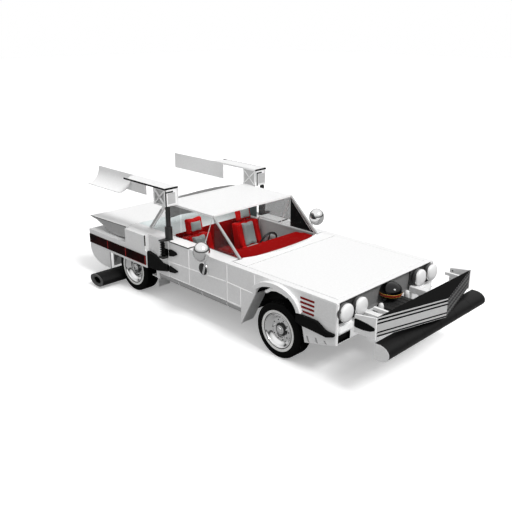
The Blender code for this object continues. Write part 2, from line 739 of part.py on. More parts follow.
def tail_pillar_x(z):
    share = (z - SHOULDER_Z) / (ROOF_Z - SHOULDER_Z)
    return between(CANOPY_TAIL_X, ROOF_REAR_X, share)


def canopy_frame():
    foot = SHOULDER_Z + FIT_GAP
    roof_low, edge_z = ROOF_Z - ROOF_PLATE, ROOF_Z - ROOF_EDGE_DROP
    flat = ROOF_HALF - ROOF_EDGE
    section = [(-ROOF_HALF, roof_low), (ROOF_HALF, roof_low), (ROOF_HALF, edge_z), (flat, ROOF_Z),
               (-flat, ROOF_Z), (-ROOF_HALF, edge_z)]
    roof = plate("yz", section, ROOF_REAR_X, ROOF_FRONT_X)
    lip_arc = ellipse((0.0, roof_low + STEP), ROOF_LIP_HALF, ROOF_PLATE + ROOF_LIP_RISE, 0, 180, 12)
    join(roof, plate("yz", lip_arc, ROOF_REAR_X - ROOF_LIP_PLATE, ROOF_REAR_X + STEP / 2))
    side_top = edge_z - STEP
    outer = [(pillar_x(foot), foot), (ROOF_FRONT_X - STEP, side_top), (ROOF_REAR_X + STEP, side_top),
             (tail_pillar_x(foot), foot)]
    inner = [(tail_pillar_x(foot) + TAIL_PILLAR, foot), (tail_pillar_x(RAIL_Z) + TAIL_PILLAR, RAIL_Z),
             (pillar_x(RAIL_Z) - PILLAR, RAIL_Z), (pillar_x(foot) - PILLAR, foot)]
    for side in SIDES.values():
        join(roof, plate("xz", outer + inner, *span(side, ROOF_HALF - PILLAR_DEPTH, ROOF_HALF - 0.001)))
    return place(roof, "canopy_frame", "white")


def windscreen():
    """A bowed pane: straight under the roof, bowed forwards at its foot."""
    half = ROOF_HALF - PILLAR_DEPTH - 0.001
    bm = bmesh.new()
    bmesh.ops.create_grid(bm, x_segments=12, y_segments=6, size=1.0)
    low, high = SHOULDER_Z + 0.003, ROOF_Z - ROOF_PLATE - 0.003
    for vert in bm.verts:
        across, up = vert.co.x, (vert.co.y + 1) / 2
        z = between(low, high, up)
        bow = SCREEN_BOW * (1 - across * across) * (1 - up)
        vert.co = (pillar_x(z) - 0.012 + bow, half * across, z)
    pane = from_bmesh(bm)
    solid = pane.modifiers.new("thickness", "SOLIDIFY")
    solid.thickness = GLASS
    solid.offset = 0.0
    return place(pane, "windscreen", "glass")


def rear_window():
    half = ROOF_HALF - PILLAR_DEPTH - FIT_GAP
    foot, high = SHOULDER_Z + FIT_GAP, ROOF_Z - ROOF_PLATE - FIT_GAP
    outline = [(tail_pillar_x(foot) + 0.020, foot), (tail_pillar_x(high) + 0.020, high),
               (tail_pillar_x(high) + 0.030, high), (tail_pillar_x(foot) + 0.030, foot)]
    return place(plate("xz", outline, -half, half), "rear_window", "glass")


def door_glass(name, side):
    low, high = SHOULDER_Z + FIT_GAP, RAIL_Z - SHUT_GAP
    front = PILLAR + SHUT_GAP * 2
    outline = [(DOOR_REAR_X + 0.026, low), (DOOR_REAR_X + 0.026, high), (pillar_x(high) - front, high),
               (pillar_x(low) - front, low)]
    pane_y = ROOF_HALF - PILLAR_DEPTH / 2
    return place(plate("xz", outline, *span(side, pane_y - GLASS / 2, pane_y + GLASS / 2)), name, "glass")


def quarter_glass(name, side):
    low, high = SHOULDER_Z + FIT_GAP, RAIL_Z - FIT_GAP
    rear = TAIL_PILLAR + FIT_GAP
    outline = [(DOOR_REAR_X - 0.016, low), (DOOR_REAR_X - 0.016, high), (tail_pillar_x(high) + rear, high),
               (tail_pillar_x(low) + rear, low)]
    pane_y = ROOF_HALF - PILLAR_DEPTH / 2
    return place(plate("xz", outline, *span(side, pane_y - GLASS / 2, pane_y + GLASS / 2)), name, "glass")


def mirror(name, side):
    foot_x, egg_x = -0.070, 0.050
    disc = round_bar((foot_x, side * (SIDE_Y + FIT_GAP), 0.710), (foot_x, side * (SIDE_Y + 0.03), 0.710), 0.080)
    stalk = tube([(foot_x, side * (SIDE_Y + 0.02), 0.710), (foot_x + 0.03, side * 0.985, 0.76),
                  (egg_x - 0.01, side * 1.02, 0.90), (egg_x, side * 1.032, 0.96)], 0.014)
    egg = ball((egg_x, side * 1.032, 0.976), MIRROR_RADII, 20, 14)
    return place(join(disc, stalk, egg), name, "chrome")


# Rear end

def quarter(name, side):
    front_x = DOOR_REAR_X - SHUT_GAP
    sill_top = DOOR_BOTTOM_Z - SHUT_GAP + FIT_GAP
    wall = [(front_x, SHOULDER_Z), (front_x, sill_top), (-1.0, sill_top), (-1.0, SILL_Z), (-1.06, SILL_Z),
            (-1.06, POD_BOTTOM_Z), (-1.20, POD_TOP_Z - 0.01), (WALL_REAR_X, POD_TOP_Z - 0.01),
            (WALL_REAR_X, SHOULDER_Z)]
    body = plate("xz", wall, *span(side, SIDE_Y - PANEL, SIDE_Y))
    shoulder = side_block(side, (WALL_REAR_X + STEP, front_x - STEP), DOOR_INNER_Y, SIDE_Y - 0.01,
                          (SHOULDER_Z - PANEL, SHOULDER_Z - STEP))
    skirt_x = REAR_ARCH_REAR_X - SKIRT_RUN
    skirt = ellipse((skirt_x, SKIRT_Z + SKIRT_RISE), skirt_x - POD_TAIL_X, SKIRT_RISE, 180, 270, 8)
    skin = [(POD_FRONT_X, POD_TOP_Z), (POD_FRONT_X, POD_BOTTOM_Z), (REAR_ARCH_REAR_X, POD_BOTTOM_Z),
            (REAR_ARCH_REAR_X, SKIRT_Z)] + list(reversed(skirt)) + [(POD_TAIL_X, POD_TOP_Z)]
    pod = plate("xz", skin, *span(side, POD_Y - POD_SKIN, POD_Y))
    deck = side_block(side, (POD_TAIL_X + STEP, POD_FRONT_X - 0.02), WHEELHOUSE_Y, POD_Y - 0.01,
                      (POD_TOP_Z - POD_PLATE, POD_TOP_Z - STEP))
    house = side_block(side, (POD_TAIL_X + 0.03, BULKHEAD_X - 0.04), WHEELHOUSE_Y + STEP, WHEELHOUSE_Y + 0.018,
                       (BOOT_FLOOR_Z, POD_TOP_Z - 0.005))
    fairing = side_block(side, FAIRING_X, SIDE_Y - 0.01, POD_Y + STEP, (POD_TOP_Z - 0.012, SHOULDER_Z - STEP))
    join(body, shoulder, pod, deck, house, fairing)
    shelf = side_block(side, (DEFLECTOR_X, -1.001), DEFLECTOR_Y[0], SIDE_Y - 0.01,
                       (SILL_Z + 0.002, SILL_Z + 0.018))
    flap = side_block(side, (DEFLECTOR_X - DEFLECTOR_PLATE / 2, DEFLECTOR_X + DEFLECTOR_PLATE / 2), *DEFLECTOR_Y,
                      (DEFLECTOR_LOW_Z, SILL_Z + 0.019))
    join(body, shelf, flap)
    return place(body, name, "white")


def rear_guard(name, side):
    """A black arrow-shaped guard on the body side, tapering towards the door."""
    rear = POD_FRONT_X + FIT_GAP
    outline = [(rear, 0.655), (-1.040, 0.636), (-0.892, 0.561), (GUARD_FRONT_X, 0.558), (GUARD_FRONT_X, 0.472),
               (-0.829, 0.463), (-0.973, 0.435), (rear, 0.440)]
    foot = SIDE_Y + FIT_GAP
    body = plate("xz", outline, *span(side, foot, SIDE_Y + GUARD_REACH))
    taper = [(rear - 0.02, side * (SIDE_Y + GUARD_REACH - STEP)),
             (GUARD_FRONT_X + 0.02, side * (SIDE_Y + GUARD_TIP_REACH)), (GUARD_FRONT_X + 0.02, side * (SIDE_Y + 0.10)), (rear - 0.02, side * (SIDE_Y + 0.10))]
    cut(body, plate("xy", taper, POD_BOTTOM_Z - 0.05, POD_TOP_Z + 0.05))
    return place(body, name, "black")


def tail_deck():
    half = WHEELHOUSE_Y - FIT_GAP
    deck = block((TAIL_X, -half, POD_TOP_Z - POD_PLATE), (WALL_REAR_X + SHEET, half, POD_TOP_Z - STEP))
    panel = block((TAIL_X + STEP, -half + STEP, 0.40), (TAIL_X + 0.025, half - STEP, POD_TOP_Z - 0.004))
    step = block((WALL_REAR_X, -half + STEP, POD_TOP_Z - POD_PLATE + STEP),
                 (WALL_REAR_X + SHEET - STEP, half - STEP, SHOULDER_Z - PANEL - FIT_GAP))
    join(deck, panel, step)
    return place(deck, "tail_deck", "white")


def rear_deck():
    half = DOOR_INNER_Y - FIT_GAP
    deck = block((WALL_REAR_X, -half, SHOULDER_Z - PANEL), (BULKHEAD_X + 0.03, half, SHOULDER_Z))
    bulkhead = block((BULKHEAD_X, -0.64, FLOOR_Z + FLOOR_PLATE + FIT_GAP),
                     (BULKHEAD_X + SHEET, 0.64, SHOULDER_Z - 0.01))
    join(deck, bulkhead)
    return place(deck, "rear_deck", "white")


def decklid():
    front = WALL_REAR_X - SHUT_GAP
    under = [(-1.770, 0.700), (-1.930, 0.686), (-2.100, 0.692), (-2.330, 0.768), (-2.480, 0.812)]
    swing = LID_TOP_Z - LID_PIN_Z
    outline = [(front - swing, LID_TOP_Z), (front, LID_TOP_Z - swing / 2), (front, 0.800)] + under
    outline += [(LID_TAIL_X, LID_TAIL_Z - 0.012), (LID_TAIL_X, LID_TAIL_Z)]
    lid = plate("xz", outline, -SIDE_Y, SIDE_Y)
    for side in SIDES.values():
        pin = round_bar((front, side * 0.45, LID_PIN_Z), (front, side * 0.57, LID_PIN_Z), SHUT_GAP - FIT_GAP,
                        segments=12)
        join(lid, pin)
    return place(lid, "decklid", "white")


def tail_lamps(name, side):
    strip = side_block(side, (POD_TAIL_X + 0.015, POD_FRONT_X - 0.01), POD_Y + FIT_GAP, POD_Y + 0.012,
                       (LAMP_STRIP_LOW, LAMP_STRIP_HIGH))
    return place(strip, name, "red_lens")


def rear_pipe():
    section = ellipse((PIPE_X, PIPE_Z), PIPE_HALF_WIDE, PIPE_HALF_HIGH, 0, 345, 23)
    bore = ellipse((PIPE_X, PIPE_Z), PIPE_HALF_WIDE - PIPE_WALL, PIPE_HALF_HIGH - PIPE_WALL, 0, 345, 23)
    pipe = plate("xz", section, -PIPE_HALF_LENGTH, PIPE_HALF_LENGTH)
    for side in SIDES.values():
        cut(pipe, plate("xz", bore, *span(side, PIPE_HALF_LENGTH - PIPE_BORE_DEPTH, PIPE_HALF_LENGTH + 0.05)))
        hanger = side_block(side, (PIPE_X - 0.02, PIPE_X + 0.02), 0.50, 0.54,
                            (PIPE_Z + 0.03, BOOT_FLOOR_Z - FIT_GAP))
        join(pipe, hanger)
    return place(pipe, "rear_pipe", "black")


def mast(name, side):
    """A stepped post on the shoulder, with the spring that stays it at the body side."""
    foot = SHOULDER_Z + FIT_GAP
    top = ARM_TOP_Z - ARM_PLATE - FIT_GAP
    profile = [(0.0, top), (MAST_TOP_RADIUS, top), (MAST_TOP_RADIUS, MAST_STEP_2_Z)]
    profile += [(MAST_MID_RADIUS, MAST_STEP_2_Z), (MAST_MID_RADIUS, MAST_STEP_1_Z)]
    profile += [(MAST_LOW_RADIUS, MAST_STEP_1_Z), (MAST_LOW_RADIUS, foot), (0.0, foot)]
    body = turned(profile, (MAST_X, side * MAST_Y, 0.0), steps=20)
    low, high = SPRING_BASE_Z[1] - 0.004, SPRING_HEAD_Z[0] + 0.004
    coils = [(0.0, high)]
    for step in range(2 * SPRING_COILS + 1):
        radius = SPRING_RADIUS if step % 2 else SPRING_WAIST
        coils.append((radius, between(high, low, step / (2 * SPRING_COILS))))
    spring = turned(coils + [(0.0, low)], (MAST_X, side * SPRING_Y, 0.0), steps=12)
    plate_x = (MAST_X - SPRING_PLATE, MAST_X + SPRING_PLATE)
    head = side_block(side, (MAST_X - SPRING_RADIUS, MAST_X + SPRING_RADIUS), MAST_Y, SPRING_Y + SPRING_RADIUS,
                      SPRING_HEAD_Z)
    base = side_block(side, plate_x, SIDE_Y + FIT_GAP, SPRING_Y + SPRING_RADIUS, SPRING_BASE_Z)
    join(body, head, spring, base)
    return place(body, name, "black")


def brace_holes(x, z):
    """Four triangles that leave a cross between the corners of a rectangle."""
    width, height = x[1] - x[0], z[1] - z[0]
    diagonal = math.hypot(width, height)
    along_x, along_z = BRACE_HALF * diagonal / height, BRACE_HALF * diagonal / width
    middle_x, middle_z = (x[0] + x[1]) / 2, (z[0] + z[1]) / 2
    return [
        [(x[0] + along_x, z[0]), (x[1] - along_x, z[0]), (middle_x, middle_z - along_z)],
        [(x[0] + along_x, z[1]), (x[1] - along_x, z[1]), (middle_x, middle_z + along_z)],
        [(x[0], z[0] + along_z), (x[0], z[1] - along_z), (middle_x - along_x, middle_z)],
        [(x[1], z[0] + along_z), (x[1], z[1] - along_z), (middle_x + along_x, middle_z)],
    ]


def wing(name, side):
    low = ROOF_Z + FIT_GAP
    top = plate("xy", [(ARM_FRONT_X, side * ARM_INNER_Y), (ARM_FRONT_X, side * ARM_OUTER_Y),
                       (ARM_REAR_X + 0.11, side * ARM_OUTER_Y), (ARM_REAR_X, side * (ARM_OUTER_Y - 0.11)),
                       (ARM_REAR_X, side * ARM_INNER_Y)], ARM_TOP_Z - ARM_PLATE, ARM_TOP_Z)
    frame = [(PORTAL_REAR_X, low), (PORTAL_REAR_X, ARM_TOP_Z - 0.005), (ARM_FRONT_X - 0.001, ARM_TOP_Z - 0.005),
             (ARM_FRONT_X - 0.001, low)]
    inner_wall = ARM_INNER_Y + STEP
    outer_wall = ARM_OUTER_Y - PORTAL_WALL - STEP
    window = brace_holes((PORTAL_REAR_X + PORTAL_RAIL, ARM_FRONT_X - PORTAL_RAIL),
                         (low + PORTAL_RAIL, ARM_TOP_Z - ARM_PLATE - PORTAL_RAIL / 2))
    join(top, plate("xz", frame, *span(side, inner_wall, inner_wall + PORTAL_WALL)))
    join(top, plate("xz", frame, *span(side, outer_wall, outer_wall + PORTAL_WALL), holes=window))
    low_y, high_y = ARM_INNER_Y + 0.001, ARM_OUTER_Y + 0.005
    outer_arc = ellipse((high_y, BLADE_TOP_Z + 0.006), high_y - low_y, BLADE_TOP_Z - BLADE_LOW_Z, 180, 270, 8)
    inner_arc = ellipse((high_y, BLADE_TOP_Z + 0.006), high_y - low_y - BLADE_PLATE,
                        BLADE_TOP_Z - BLADE_LOW_Z - BLADE_PLATE, 270, 180, 8)
    section = [(side * y, z) for y, z in outer_arc + inner_arc]
    blade = plate("yz", section, BLADE_REAR_X, BLADE_MID_X)
    wall = side_block(side, (BLADE_REAR_X + 0.001, BLADE_FRONT_X), ARM_INNER_Y, ARM_INNER_Y + BLADE_PLATE,
                      (BLADE_LOW_Z + 0.01, ARM_TOP_Z - 0.005))
    join(top, wall, blade)
    return place(top, name, "white")


# Cabin

def seat(name, side):
    floor = FLOOR_Z + FLOOR_PLATE + FIT_GAP
    outline = [(-0.20, floor), (-0.14, 0.48), (-0.18, 0.52), (-0.62, 0.50), (-0.755, 0.915), (-0.79, 0.935),
               (-0.88, 0.92), (-0.78, 0.42), (-0.70, floor)]
    body = plate("xz", outline, *span(side, SEAT_Y - SEAT_HALF, SEAT_Y + SEAT_HALF))
    head = [(-0.785, 0.92), (-0.745, 0.98), (-0.765, 1.085), (-0.815, 1.10), (-0.855, 1.08), (-0.865, 0.91)]
    join(body, plate("xz", head, *span(side, SEAT_Y - HEADREST_HALF, SEAT_Y + HEADREST_HALF)))
    return place(body, name, "red_trim")


def dashboard():
    """A dash body against the cowl, under a pad whose front edge follows the bowed screen."""
    front = COWL_REAR_X - FIT_GAP
    outline = [(front, 0.56), (front, DASH_PAD_Z[1] - 0.008), (0.14, DASH_PAD_Z[1] - 0.008), (DASH_REAR_X, 0.81),
               (0.07, 0.58)]
    body = plate("xz", outline, -DASH_HALF, DASH_HALF)
    plan = [(DASH_REAR_X + 0.01, DASH_BOW_HALF - 0.01), (DASH_REAR_X + 0.01, -DASH_BOW_HALF + 0.01)]
    pad = plate("xy", plan + dash_bow(2 * FIT_GAP), *DASH_PAD_Z)
    join(body, pad)
    return place(body, "dashboard", "red_trim")


def steering_wheel():
    hub = Vector((-0.240, COLUMN_Y, 0.735))
    axis = Vector((0.90, 0.0, -0.28)).normalized()
    steps = 28
    turn = axis.to_track_quat("Z", "Y").to_matrix().to_4x4()
    ring_points = []
    for step in range(steps):
        angle = math.tau * step / steps
        local = Vector((WHEEL_RING_RADIUS * math.cos(angle), WHEEL_RING_RADIUS * math.sin(angle), 0.0))
        ring_points.append(tuple(hub + turn @ local))
    ring = tube(ring_points, 0.013, 2, cyclic=True)
    column = round_bar(hub - axis * 0.02, hub + axis * 0.3096, 0.022)
    join(ring, column)
    for angle in (0.0, math.pi / 2, math.pi):
        local = Vector((WHEEL_RING_RADIUS * math.cos(angle), WHEEL_RING_RADIUS * math.sin(angle), 0.0))
        join(ring, round_bar(hub, hub + turn @ local, 0.009, segments=10))
    return place(ring, "steering_wheel", "black")


def engine_block():
    body = block((ENGINE_REAR_X, -ENGINE_HALF, ENGINE_LOW_Z), (ENGINE_FRONT_X, ENGINE_HALF, ENGINE_TOP_Z))
    for side in SIDES.values():
        mount = side_block(side, (FRONT_AXLE_X - 0.03, FRONT_AXLE_X + 0.03), 0.20, 0.26,
                           (TYRE_RADIUS - 0.060 + FIT_GAP, ENGINE_LOW_Z + 0.01))
        join(body, mount)
    return place(body, "engine_block", "grey")


def build():
    engine_bay()
    floor_pan()
    front_fascia()
    nose_dome()
    nose_duct()
    plough_bumper()
    front_bar()
    canopy_frame()
    windscreen()
    rear_window()
    tail_deck()
    rear_deck()
    rear_pipe()
    dashboard()
    steering_wheel()
    engine_block()
    front_subframe()
    rear_axle()
    pivot("hood_hinge", (HOOD_REAR_X, 0.0, SHOULDER_Z), hood())
    pivot("decklid_hinge", (WALL_REAR_X - SHUT_GAP, 0.0, LID_PIN_Z), decklid())
    for word, side in SIDES.items():
        front_fender("front_fender_" + word, side)
        sill("sill_" + word, side)
        quarter("quarter_" + word, side)
        headlamps("headlamps_" + word, side)
        side_guard("side_guard_" + word, side)
        rear_guard("rear_guard_" + word, side)
        tail_lamps("tail_lamps_" + word, side)
        mast("mast_" + word, side)
        wing("wing_" + word, side)
        seat("seat_" + word, side)
        quarter_glass("quarter_glass_" + word, side)
        pivot("door_hinge_" + word, (DOOR_FRONT_X, side * SIDE_Y, SHOULDER_Z), door("door_" + word, side),
              door_glass("door_glass_" + word, side), mirror("mirror_" + word, side))
        steer = pivot("kingpin_" + word, (FRONT_AXLE_X, side * TRACK_HALF, TYRE_RADIUS),
                      knuckle("knuckle_" + word, side))
        hub = pivot("front_hub_" + word, (FRONT_AXLE_X, side * TRACK_HALF, TYRE_RADIUS),
                    tyre("tyre_front_" + word, FRONT_AXLE_X, side), rim("rim_front_" + word, FRONT_AXLE_X, side))
        hub.parent = steer
        hub.matrix_parent_inverse = steer.matrix_world.inverted()
        pivot("rear_hub_" + word, (REAR_AXLE_X, side * TRACK_HALF, TYRE_RADIUS),
              tyre("tyre_rear_" + word, REAR_AXLE_X, side), rim("rim_rear_" + word, REAR_AXLE_X, side))


build()
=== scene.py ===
# %% [markdown]
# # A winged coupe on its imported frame
# The CAD model gives every solid its place. This lesson dresses that frame: each panel gets soft edges,
# paint and trim, the wheels get tread and chrome, and the cabin gets stitched seats.

# %% Load the frame
import math

import bmesh
import bpy
from mathutils import Matrix, Vector


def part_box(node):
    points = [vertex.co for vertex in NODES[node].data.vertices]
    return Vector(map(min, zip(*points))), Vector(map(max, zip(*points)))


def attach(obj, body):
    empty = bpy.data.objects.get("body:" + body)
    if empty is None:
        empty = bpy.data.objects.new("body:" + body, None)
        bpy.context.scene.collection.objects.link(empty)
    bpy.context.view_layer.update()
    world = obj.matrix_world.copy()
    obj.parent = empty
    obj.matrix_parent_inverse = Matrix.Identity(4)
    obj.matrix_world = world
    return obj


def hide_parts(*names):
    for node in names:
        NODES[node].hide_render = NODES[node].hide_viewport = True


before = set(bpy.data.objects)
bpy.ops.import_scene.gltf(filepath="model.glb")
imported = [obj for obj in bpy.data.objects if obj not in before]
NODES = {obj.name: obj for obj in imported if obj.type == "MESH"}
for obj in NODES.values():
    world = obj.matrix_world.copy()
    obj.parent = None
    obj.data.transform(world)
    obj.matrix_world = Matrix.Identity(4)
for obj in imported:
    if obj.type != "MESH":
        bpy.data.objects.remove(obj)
SIDES = {"right": -1, "left": 1}
WHEELS = [(word, side, place) for word, side in SIDES.items() for place in ("front", "rear")]
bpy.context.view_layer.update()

# %% [markdown]
# ## Camera
# The car is seen from its right front corner and a little above. The wheels' ellipses gave the lens:
# a field of view of 43 degrees, so the near wheel looks clearly larger than the far one.

# %% Camera
CAMERA_PLACE = (5.571, -5.599, 3.49)
CAMERA_TURN = (70.24, 0.0, 45.32)
LENS_MM = 45.68

camera_data = bpy.data.cameras.new("camera")
camera_data.sensor_width = 36.0
camera_data.lens = LENS_MM
camera_data.dof.use_dof = False
camera = bpy.data.objects.new("camera", camera_data)
camera.location = CAMERA_PLACE
camera.rotation_euler = [math.radians(angle) for angle in CAMERA_TURN]
bpy.context.scene.collection.objects.link(camera)
bpy.context.scene.camera = camera
bpy.context.scene.view_settings.view_transform = "Standard"

# %% [markdown]
# ## Colours and nodes
# Colours are written as sRGB hex, as a paint chart gives them, and turned to linear light once.
# One function adds any shader node with its settings, values and links, so each finish stays readable.

# %% Colour and node helpers
MM = 0.001


def stand(name, data):
    """Put new data into the scene as an object."""
    made = bpy.data.objects.new(name, data)
    bpy.context.scene.collection.objects.link(made)
    return made


def linear(hex_colour):
    """Turn an sRGB hex colour to the linear RGBA that shaders take."""
    digits = hex_colour.lstrip("#")
    channels = [int(digits[start:start + 2], 16) / 255 for start in (0, 2, 4)]
    light = [c / 12.92 if c <= 0.04045 else ((c + 0.055) / 1.055) ** 2.4 for c in channels]
    return (*light, 1.0)


def add_node(tree, kind, values=None, links=None, **settings):
    """Add one node: its settings by name, its socket values, then its links from other sockets."""
    made = tree.nodes.new(kind)
    for name, value in settings.items():
        setattr(made, name, value)
    for name, value in (values or {}).items():
        made.inputs[name].default_value = value
    for name, source in (links or {}).items():
        tree.links.new(source, made.inputs[name])
    return made


def finish(name, colour, roughness, metallic=0.0, sockets=None):
    """A material with one Principled shader; returns the material, its node tree and the shader."""
    material = bpy.data.materials.new(name)
    material.use_nodes = True
    tree = material.node_tree
    shader = tree.nodes["Principled BSDF"]
    values = {"Base Color": linear(colour), "Roughness": roughness, "Metallic": metallic}
    values.update(sockets or {})
    for socket, value in values.items():
        shader.inputs[socket].default_value = value
    return material, tree, shader


def grain(tree, shader, size_mm, depth_mm, detail=2.0, stretch=(1.0, 1.0, 1.0)):
    """Give a surface a bump of the real grain size, and return the noise for colour use."""
    where = add_node(tree, "ShaderNodeTexCoord")
    scaled = add_node(tree, "ShaderNodeMapping", {"Scale": stretch}, {"Vector": where.outputs["Object"]})
    noise = add_node(tree, "ShaderNodeTexNoise", {"Scale": 1.0 / (size_mm * MM), "Detail": detail},
                     {"Vector": scaled.outputs["Vector"]})
    bump = add_node(tree, "ShaderNodeBump", {"Distance": depth_mm * MM, "Strength": 0.6},
                    {"Height": noise.outputs["Fac"]})
    tree.links.new(bump.outputs["Normal"], shader.inputs["Normal"])
    return noise


def vary(tree, shader, noise, colour_a, colour_b, low=0.35, high=0.65):
    """Let a noise move the base colour between two close shades."""
    ramp = add_node(tree, "ShaderNodeValToRGB", links={"Fac": noise.outputs["Fac"]})
    for stop, place, colour in zip(ramp.color_ramp.elements, (low, high), (colour_a, colour_b)):
        stop.position = place
        stop.color = linear(colour)
    tree.links.new(ramp.outputs["Color"], shader.inputs["Base Color"])


def worn(tree, shader, base, spread, size_mm):
    """Vary the roughness a little in patches, as handling and washing do."""
    where = add_node(tree, "ShaderNodeTexCoord")
    noise = add_node(tree, "ShaderNodeTexNoise", {"Scale": 1.0 / (size_mm * MM), "Detail": 4.0},
                     {"Vector": where.outputs["Object"]})
    span = add_node(tree, "ShaderNodeMapRange", {"To Min": base - spread, "To Max": base + spread},
                    {"Value": noise.outputs["Fac"]})
    tree.links.new(span.outputs["Result"], shader.inputs["Roughness"])


def mottled(name, colour, shades, roughness, grain_mm, depth_mm, detail=2.0, metallic=0.0, gloss=0.5,
            stretch=(1.0, 1.0, 1.0)):
    """A finish whose colour wanders between two close shades along with its grain."""
    material, tree, shader = finish(name, colour, roughness, metallic, {"Specular IOR Level": gloss})
    vary(tree, shader, grain(tree, shader, grain_mm, depth_mm, detail, stretch), *shades)
    return material


def checked(name, colour, shades, roughness, size_mm, depth_mm, sockets, turn=(0.0, 0.0, 0.0),
            stretch=(1.0, 1.0, 1.0)):
    """A weave or mesh: one chequered pattern gives both the colour and the relief."""
    material, tree, shader = finish(name, colour, roughness, sockets=sockets)
    where = add_node(tree, "ShaderNodeTexCoord")
    turned = add_node(tree, "ShaderNodeMapping", {"Rotation": turn, "Scale": stretch},
                      {"Vector": where.outputs["Object"]})
    values = {"Scale": 1.0 / (size_mm * MM), "Color1": linear(shades[0]), "Color2": linear(shades[1])}
    check = add_node(tree, "ShaderNodeTexChecker", values, {"Vector": turned.outputs["Vector"]})
    bump = add_node(tree, "ShaderNodeBump", {"Distance": depth_mm * MM, "Strength": 0.5},
                    {"Height": check.outputs["Fac"]})
    tree.links.new(check.outputs["Color"], shader.inputs["Base Color"])
    tree.links.new(bump.outputs["Normal"], shader.inputs["Normal"])
    return material


def glazing(name, colour, roughness, alpha, gloss):
    """Thin window glass with faint smears; the tree and shader come back for further nodes."""
    material, tree, shader = finish(name, colour, roughness,
                                    sockets={"Alpha": alpha, "Specular IOR Level": gloss})
    worn(tree, shader, roughness + 0.01, 0.02, 120.0)
    return material, tree, shader


# %% [markdown]
# ## Paint and metal
# The body is white enamel, sprayed and baked: smooth with a faint orange peel, some 4 mm across. It is
# drawn at 25 mm so that it shows as a soft break in the highlights. Chrome is plated steel, so it takes
# its look from what it mirrors. The plough and duct are powder coated, which scatters light in fine grain.

# %% Paint and metal finishes
body_enamel = mottled("white_enamel", "#F6F6F6", ("#F4F4F4", "#F8F8F8"), 0.42, 25.0, 0.03, gloss=0.3)

# White trim enamel with a faint glow of its own: painted light, so that thin trim stays white in the shade.
glowing_line_enamel, tree, shader = finish("glowing_white_enamel", "#FFFFFF", 0.3,
                                   sockets={"Emission Color": linear("#FFFFFF"), "Emission Strength": 0.15})
worn(tree, shader, 0.3, 0.06, 60.0)

charcoal_enamel = mottled("charcoal_enamel", "#4C4C4C", ("#464646", "#525252"), 0.42, 12.0, 0.15)
powder_grey = mottled("grey_powder_coat", "#141414", ("#101010", "#171717"), 0.7, 6.0, 0.15, 4.0, gloss=0.02)
# Painted shade in a deeper grey, laid on the roof's rear lip and on the arch inside the rear pod.
painted_deep_shade = mottled("painted_deep_shade_enamel", "#787878", ("#727272", "#7E7E7E"), 0.5, 12.0, 0.05)
duct_grey = mottled("slate_powder_coat", "#2C2C2C", ("#242424", "#343434"), 0.55, 6.0, 0.25, 4.0, gloss=0.2)
black_enamel = mottled("black_enamel", "#030303", ("#020202", "#050505"), 0.4, 18.0, 0.1, gloss=0.1)
chassis_paint = mottled("chassis_black_paint", "#0C0C0C", ("#080808", "#141414"),
                        0.6, 9.0, 0.4, 4.0, gloss=0.2)
cast_steel = mottled("cast_steel", "#5A5A5A", ("#4E4E4E", "#666666"), 0.5, 5.0, 0.4, 4.0, metallic=1.0)

chrome_plate, tree, shader = finish("chrome_plate", "#ECECEC", 0.1, 1.0)
worn(tree, shader, 0.11, 0.04, 40.0)

rib_aluminium = mottled("ribbed_aluminium", "#C2C2C2", ("#BABABA", "#CACACA"), 0.45, 8.0, 0.12, 3.0,
                        stretch=(1.0, 0.15, 4.0))

# Painted shade with drawn checks, for the plough's far face: the checks stand for its grooves seen at a
# slant.
far_shade_checks = checked("painted_shade_checks", "#3A3A3A", ("#000000", "#6A6A6A"), 0.6, 42.0, 0.8,
                    {"Specular IOR Level": 0.2}, (0.785, 0.0, 0.0), (0.0, 1.0, 1.0))

# %% [markdown]
# ## Rubber, glass and trim
# Tyres and the front bar are black rubber: dark, dull and slightly mottled. Window glass is tinted and
# thin, so it is drawn as a partly clear sheet and light still reaches the cabin. The lamps are frosted.

# %% Rubber, glass and trim finishes
tyre_rubber = mottled("tyre_rubber", "#080808", ("#020202", "#060606"), 0.66, 5.0, 0.2, 4.0, gloss=0.08)
band_rubber = mottled("white_band_rubber", "#F0F0EE", ("#E9E9E6", "#F6F6F5"), 0.5, 10.0, 0.15, 3.0)
bar_rubber = mottled("moulded_bar_rubber", "#0C0C0C", ("#080808", "#101010"),
                     0.45, 14.0, 0.25, 3.0, gloss=0.18)

canopy_glass, *_ = glazing("tinted_glass", "#2C3636", 0.04, 0.07, 0.2)
dusk_glass, *_ = glazing("dark_teal_glass", "#4E5A5A", 0.06, 1.0, 0.1)
vent_glass, *_ = glazing("tinted_vent_glass", "#3A3F40", 0.06, 0.3, 0.2)
screen_glass, *_ = glazing("tinted_screen_glass", "#2C3636", 0.04, 0.04, 0.05)
far_glass, tree, shader = glazing("smoked_glass", "#5C6060", 0.06, 1.0, 0.1)
where = add_node(tree, "ShaderNodeTexCoord")
height = add_node(tree, "ShaderNodeSeparateXYZ", links={"Vector": where.outputs["Object"]})
shade = add_node(tree, "ShaderNodeMapRange",
                 {"From Min": 0.965, "From Max": 0.975, "To Min": 0.2, "To Max": 0.56},
                 {"Value": height.outputs["Z"]})
tree.links.new(shade.outputs[0], shader.inputs["Alpha"])

lamp_glass, tree, shader = finish("frosted_lamp_glass", "#FAFAFA", 0.22, sockets={"Coat Weight": 0.6})
grain(tree, shader, 10.0, 0.25, 1.0)

strip_lens = mottled("dark_red_lens", "#160000", ("#050000", "#2A0000"), 0.45, 200.0, 0.1, gloss=0.03)
bright_red = mottled("red_lamp_plastic", "#B40A0A", ("#A80707", "#C01010"), 0.25, 20.0, 0.1)
slat_red = mottled("oxide_red_enamel", "#7E0202", ("#760101", "#860303"), 0.45, 20.0, 0.1, gloss=0.15)
pale_panel = mottled("pale_grey_enamel", "#F0F0F0", ("#EDEDED", "#F3F3F3"), 0.45, 20.0, 0.05)

